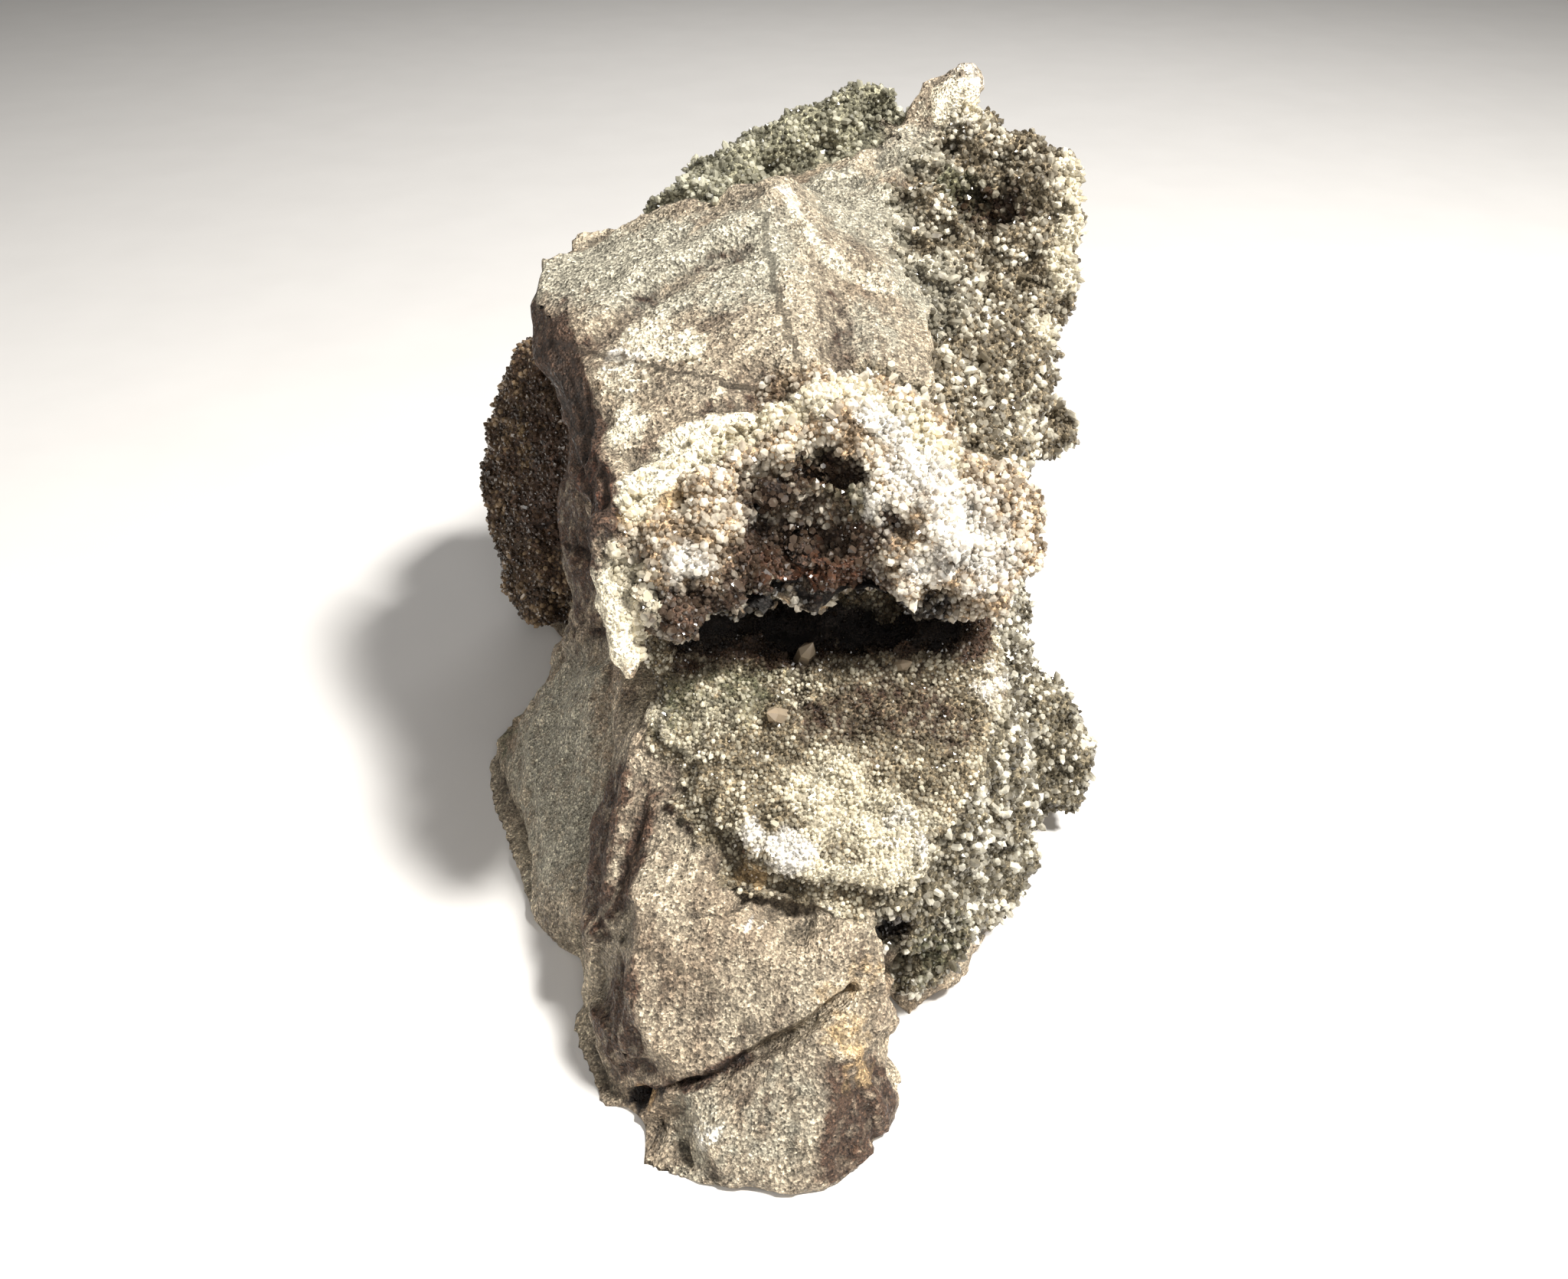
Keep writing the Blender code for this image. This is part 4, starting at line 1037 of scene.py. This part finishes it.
def grainGroup():  # sugary grains: each with its own brightness and facet
    nodes, given, put = newGroup(
        "grains", {"Color": "Color", "Size": "Float", "Contrast": "Float", "Facet": "Float"},
        {"Color": "Color", "Height": "Float", "Gloss": "Float", "Normal": "Vector"},
    )
    scale = nodes.math("DIVIDE", 1 / mm, given["Size"])
    cells = nodes.add("ShaderNodeTexVoronoi", {"Vector": nodes.places(), "Scale": scale}).outputs
    tone = nodes.add("ShaderNodeSeparateColor", {0: cells["Color"]}).outputs
    dark = nodes.stretched(tone["Red"], *grainLook["dark"])
    light = nodes.stretched(tone["Red"], *grainLook["light"])
    change = nodes.math("MULTIPLY", nodes.math("ADD", dark, light), given["Contrast"])
    change = nodes.math("ADD", change, 1.0)
    nodes.join(nodes.vector("SCALE", {0: given["Color"], "Scale": change}), put["Color"])
    away = nodes.vector("SUBTRACT", {0: cells["Color"], 1: (0.5, 0.5, 0.5)})
    away = nodes.vector("SCALE", {0: away, "Scale": given["Facet"]})
    plain = nodes.add("ShaderNodeNewGeometry").outputs["Normal"]
    bent = nodes.vector("NORMALIZE", {0: nodes.vector("ADD", {0: plain, 1: away})})
    nodes.join(cells["Distance"], put["Height"])
    nodes.join(nodes.stretched(tone["Green"], *grainLook["glossy"]), put["Gloss"])
    nodes.join(bent, put["Normal"])
    return nodes.tree


def newMaterial(name, values):
    material = bpy.data.materials.new(name)
    material.use_nodes = True
    nodes = Nodes(material.node_tree)
    shader = material.node_tree.nodes["Principled BSDF"]
    for key, value in values.items():
        shader.inputs[key].default_value = value
    return material, nodes, shader.inputs


def useGroup(nodes, group, values):
    return nodes.add("ShaderNodeGroup", values, node_tree=group).outputs


rockLook = {
    "light": (0.45, 0.385, 0.285, 1),
    "dark": (0.115, 0.088, 0.063, 1),
    "warm": (0.24, 0.165, 0.105, 1),
    "bed": (0.12, 0.11, 0.08, 1),      # under the crystals
    "bedTint": 1.1,                    # of each druse's own deep colour, on top of that
    # Noises: scale, detail and roughness
    "broad": (110, 7, 0.65),
    "bands": (0.35, 3, 0.6),
    "streaks": (1.5, 5, 0.7),
    "fine": (2600, 3, 0.7),
    "patchy": {"Scale": 75, "Detail": 5, "W": 4},
    "banded": 0.5,                     # share of the bands in the tone
    "streaked": 0.4,                   # share of the streaks
    "tone": (0.41, 0.6),               # from light to dark
    "warmth": (0.45, 0.68, 0, 0.6),
    "litEdgesShadedHollows": (-0.3, 0.3, 1.45, 0.5),    # painted highlight on the edges to painted shade in the hollows: brightness from the edges to the hollows
    "speckle": (0.25, 0.75, 0.6, 1.4),
    # Grains, with their sizes in mm
    "coarse": {"Size": 0.26, "Contrast": 0.8, "Facet": 0.6},
    "small": {"Size": 0.14, "Contrast": 0.6, "Facet": 1.1},
    "roughness": (0.75, 0.28),         # of a dull and of a glossy grain
    "streakHeight": 2.5,
    "bump": {"Strength": 0.9, "Distance": 0.2 * mm},
}


def rockMaterial(stainAndShadeNodes, grainNodes):
    look = rockLook
    material, nodes, shader = newMaterial("weathered_rock", {"IOR": 1.5})
    places = nodes.places()
    lay = nodes.painted("lay", "Vector")
    broad = nodes.noise(places, *look["broad"])
    bands = nodes.noise(lay, *look["bands"])
    streaks = nodes.noise(lay, *look["streaks"])
    fine = nodes.noise(places, *look["fine"])
    tone = nodes.mixed(look["banded"], broad, bands)
    tone = nodes.mixed(look["streaked"], tone, streaks)
    colour = nodes.mixed(nodes.stretched(tone, *look["tone"]), look["light"], look["dark"])
    patchy = nodes.add(
        "ShaderNodeTexNoise", {"Vector": places, **look["patchy"]}, noise_dimensions="4D"
    )
    warm = nodes.stretched(patchy.outputs["Fac"], *look["warmth"])
    colour = nodes.mixed(warm, colour, look["warm"])
    colour = nodes.mixed(nodes.painted("druse"), colour, look["bed"])
    for name, druse in druses.items():
        deep = Vector(druse["deep"]) * look["bedTint"]
        colour = nodes.mixed(nodes.painted(name), colour, (*deep, 1))
    # stains, and the painted shade of the umber and the soot
    colour = useGroup(nodes, stainAndShadeNodes, {"Color": colour, "Strength": 1.0})["Color"]
    # painted highlight on the edges and painted shade in the hollows
    litEdgesShadedHollows = nodes.stretched(nodes.painted("hollow"), *look["litEdgesShadedHollows"])
    shade = nodes.math("MULTIPLY", nodes.stretched(fine, *look["speckle"]), litEdgesShadedHollows)
    colour = nodes.dimmed(colour, shade)
    coarse = useGroup(nodes, grainNodes, {"Color": colour, **look["coarse"]})
    small = useGroup(nodes, grainNodes, {"Color": coarse["Color"], **look["small"]})
    nodes.join(small["Color"], shader["Base Color"])
    nodes.join(nodes.stretched(coarse["Gloss"], 0, 1, *look["roughness"]), shader["Roughness"])
    relief = nodes.math("ADD", fine, coarse["Height"])
    relief = nodes.math("ADD", relief, nodes.math("MULTIPLY", streaks, look["streakHeight"]))
    bump = nodes.add(
        "ShaderNodeBump", {"Height": relief, "Normal": coarse["Normal"], **look["bump"]}
    )
    nodes.join(bump.outputs["Normal"], shader["Normal"])
    return material


quartzLook = {
    "ior": 1.544,
    "patches": (330, 3),               # scale and detail of the lighter and darker groups
    "grouped": (0.35, 0.65, -0.3, 0.4),
    # strength of the stains and the painted shade on the crystals
    "stainedAndShaded": 0.95,
    "light": (0.5, 1.25),              # brightness of the darkest and the lightest crystal
    "roughness": (0.22, 0.05),
}


def quartzMaterial(name, druse, stainAndShadeNodes):
    values = {"IOR": quartzLook["ior"], "Transmission Weight": druse["clear"]}
    material, nodes, shader = newMaterial(name, values)
    patches = nodes.noise(nodes.places(), *quartzLook["patches"])
    grouped = nodes.stretched(patches, *quartzLook["grouped"])
    shade = nodes.stretched(nodes.math("ADD", nodes.painted("shade"), grouped), 0, 1)
    share = nodes.math("POWER", shade, druse["rare"])
    colour = nodes.mixed(share, (*druse["deep"], 1), (*druse["bright"], 1))
    # stains and painted shade on the crystals
    values = {"Color": colour, "Strength": quartzLook["stainedAndShaded"]}
    stainedAndShaded = useGroup(nodes, stainAndShadeNodes, values)["Color"]
    light = nodes.stretched(shade, 0, 1, *quartzLook["light"])
    nodes.join(nodes.dimmed(stainedAndShaded, light), shader["Base Color"])
    nodes.join(nodes.stretched(shade, 0, 1, *quartzLook["roughness"]), shader["Roughness"])
    return material


floorLook = {
    "size": 3,                         # half the side, in metres
    "noise": (60, 5),
    "colours": ((0.80, 0.79, 0.78, 1), (0.86, 0.85, 0.84, 1)),
    "roughness": 0.9,
}


def floorPiece():
    work = bmesh.new()
    bmesh.ops.create_grid(work, x_segments=1, y_segments=1, size=floorLook["size"])
    floor = newObject("floor", meshOf(work, "floor"))
    material, nodes, shader = newMaterial("pale_floor", {"Roughness": floorLook["roughness"]})
    cloudy = nodes.noise(nodes.places(), *floorLook["noise"])
    nodes.join(nodes.mixed(cloudy, *floorLook["colours"]), shader["Base Color"])
    floor.data.materials.append(material)
    floor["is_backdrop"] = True


# Lamps: place and aim in mm from the toe, size in mm, watts and colour
lamps = {
    "key": ((215, -60, 430), (5, 40, 40), 70, 4.0, (1.0, 0.97, 0.92)),
    "front": ((60, -300, 300), (0, 40, 35), 160, 0.35, (1.0, 0.98, 0.95)),
    "left": ((-300, -60, 260), (-5, 40, 30), 160, 0.3, (1.0, 0.95, 0.88)),
    "back": ((40, 420, 300), (0, 60, 40), 240, 0.3, (1.0, 0.98, 0.95)),
}
studio = {"Color": (0.90, 0.88, 0.85, 1), "Strength": 0.1}


def lighting():
    for name, (spot, aim, size, watts, colour) in lamps.items():
        lamp = bpy.data.lights.new(name, "AREA")
        lamp.size = size * mm
        lamp.energy = watts
        lamp.color = colour
        thing = newObject(name, lamp)
        thing.location = place(spot)
        thing.rotation_euler = (place(aim) - place(spot)).to_track_quat("-Z", "Y").to_euler()
    world = bpy.data.worlds.new("studio")
    bpy.context.scene.world = world
    world.use_nodes = True
    sky = world.node_tree.nodes["Background"].inputs
    for key, value in studio.items():
        sky[key].default_value = value


view = {
    "place": (0, -71, 109),  # of the lens
    "down": 35,              # degrees below level
    "lens": 32,
    "sensor": 36,
    "nearest": 0.01,         # metres
}


def cameraPiece():
    data = bpy.data.cameras.new("camera")
    data.sensor_width = view["sensor"]
    data.lens = view["lens"]
    data.clip_start = view["nearest"]
    camera = newObject("camera", data)
    camera.location = place(view["place"])
    camera.rotation_euler = (math.radians(90 - view["down"]), 0, 0)
    bpy.context.scene.camera = camera
    bpy.context.scene.view_settings.view_transform = "Standard"


def main():
    cameraPiece()
    lighting()
    floorPiece()
    print("camera, lamps and floor placed")
    mesh = shapedBody()
    stainAndShadeNodes = stainAndShadeGroup()
    rock = newObject("rock", mesh.copy())
    rock.data.shade_smooth()
    rock.data.materials.append(rockMaterial(stainAndShadeNodes, grainGroup()))
    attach(rock, "root")
    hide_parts("matrix_rock")
    shelf = quartzShelf()
    for name, druse in druses.items():
        piece = drusePiece(mesh, name, druse, shelf)
        piece.data.materials.clear()
        piece.data.materials.append(quartzMaterial(name, druse, stainAndShadeNodes))
        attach(piece, "root")
        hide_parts(druse["node"])
    lone = lonePiece(shelf)
    lone.data.materials.append(newMaterial("smoky_quartz", loneLook)[0])
    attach(lone, "root")
    print(len(loneCrystals), "lone crystals placed")
    for form in list(shelf.objects):
        bpy.data.objects.remove(form)
    bpy.data.collections.remove(shelf)


main()

boxes = {"cad": cadBox, "visual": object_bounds()}
{name: [[float(x) for x in corner] for corner in box] for name, box in boxes.items()}
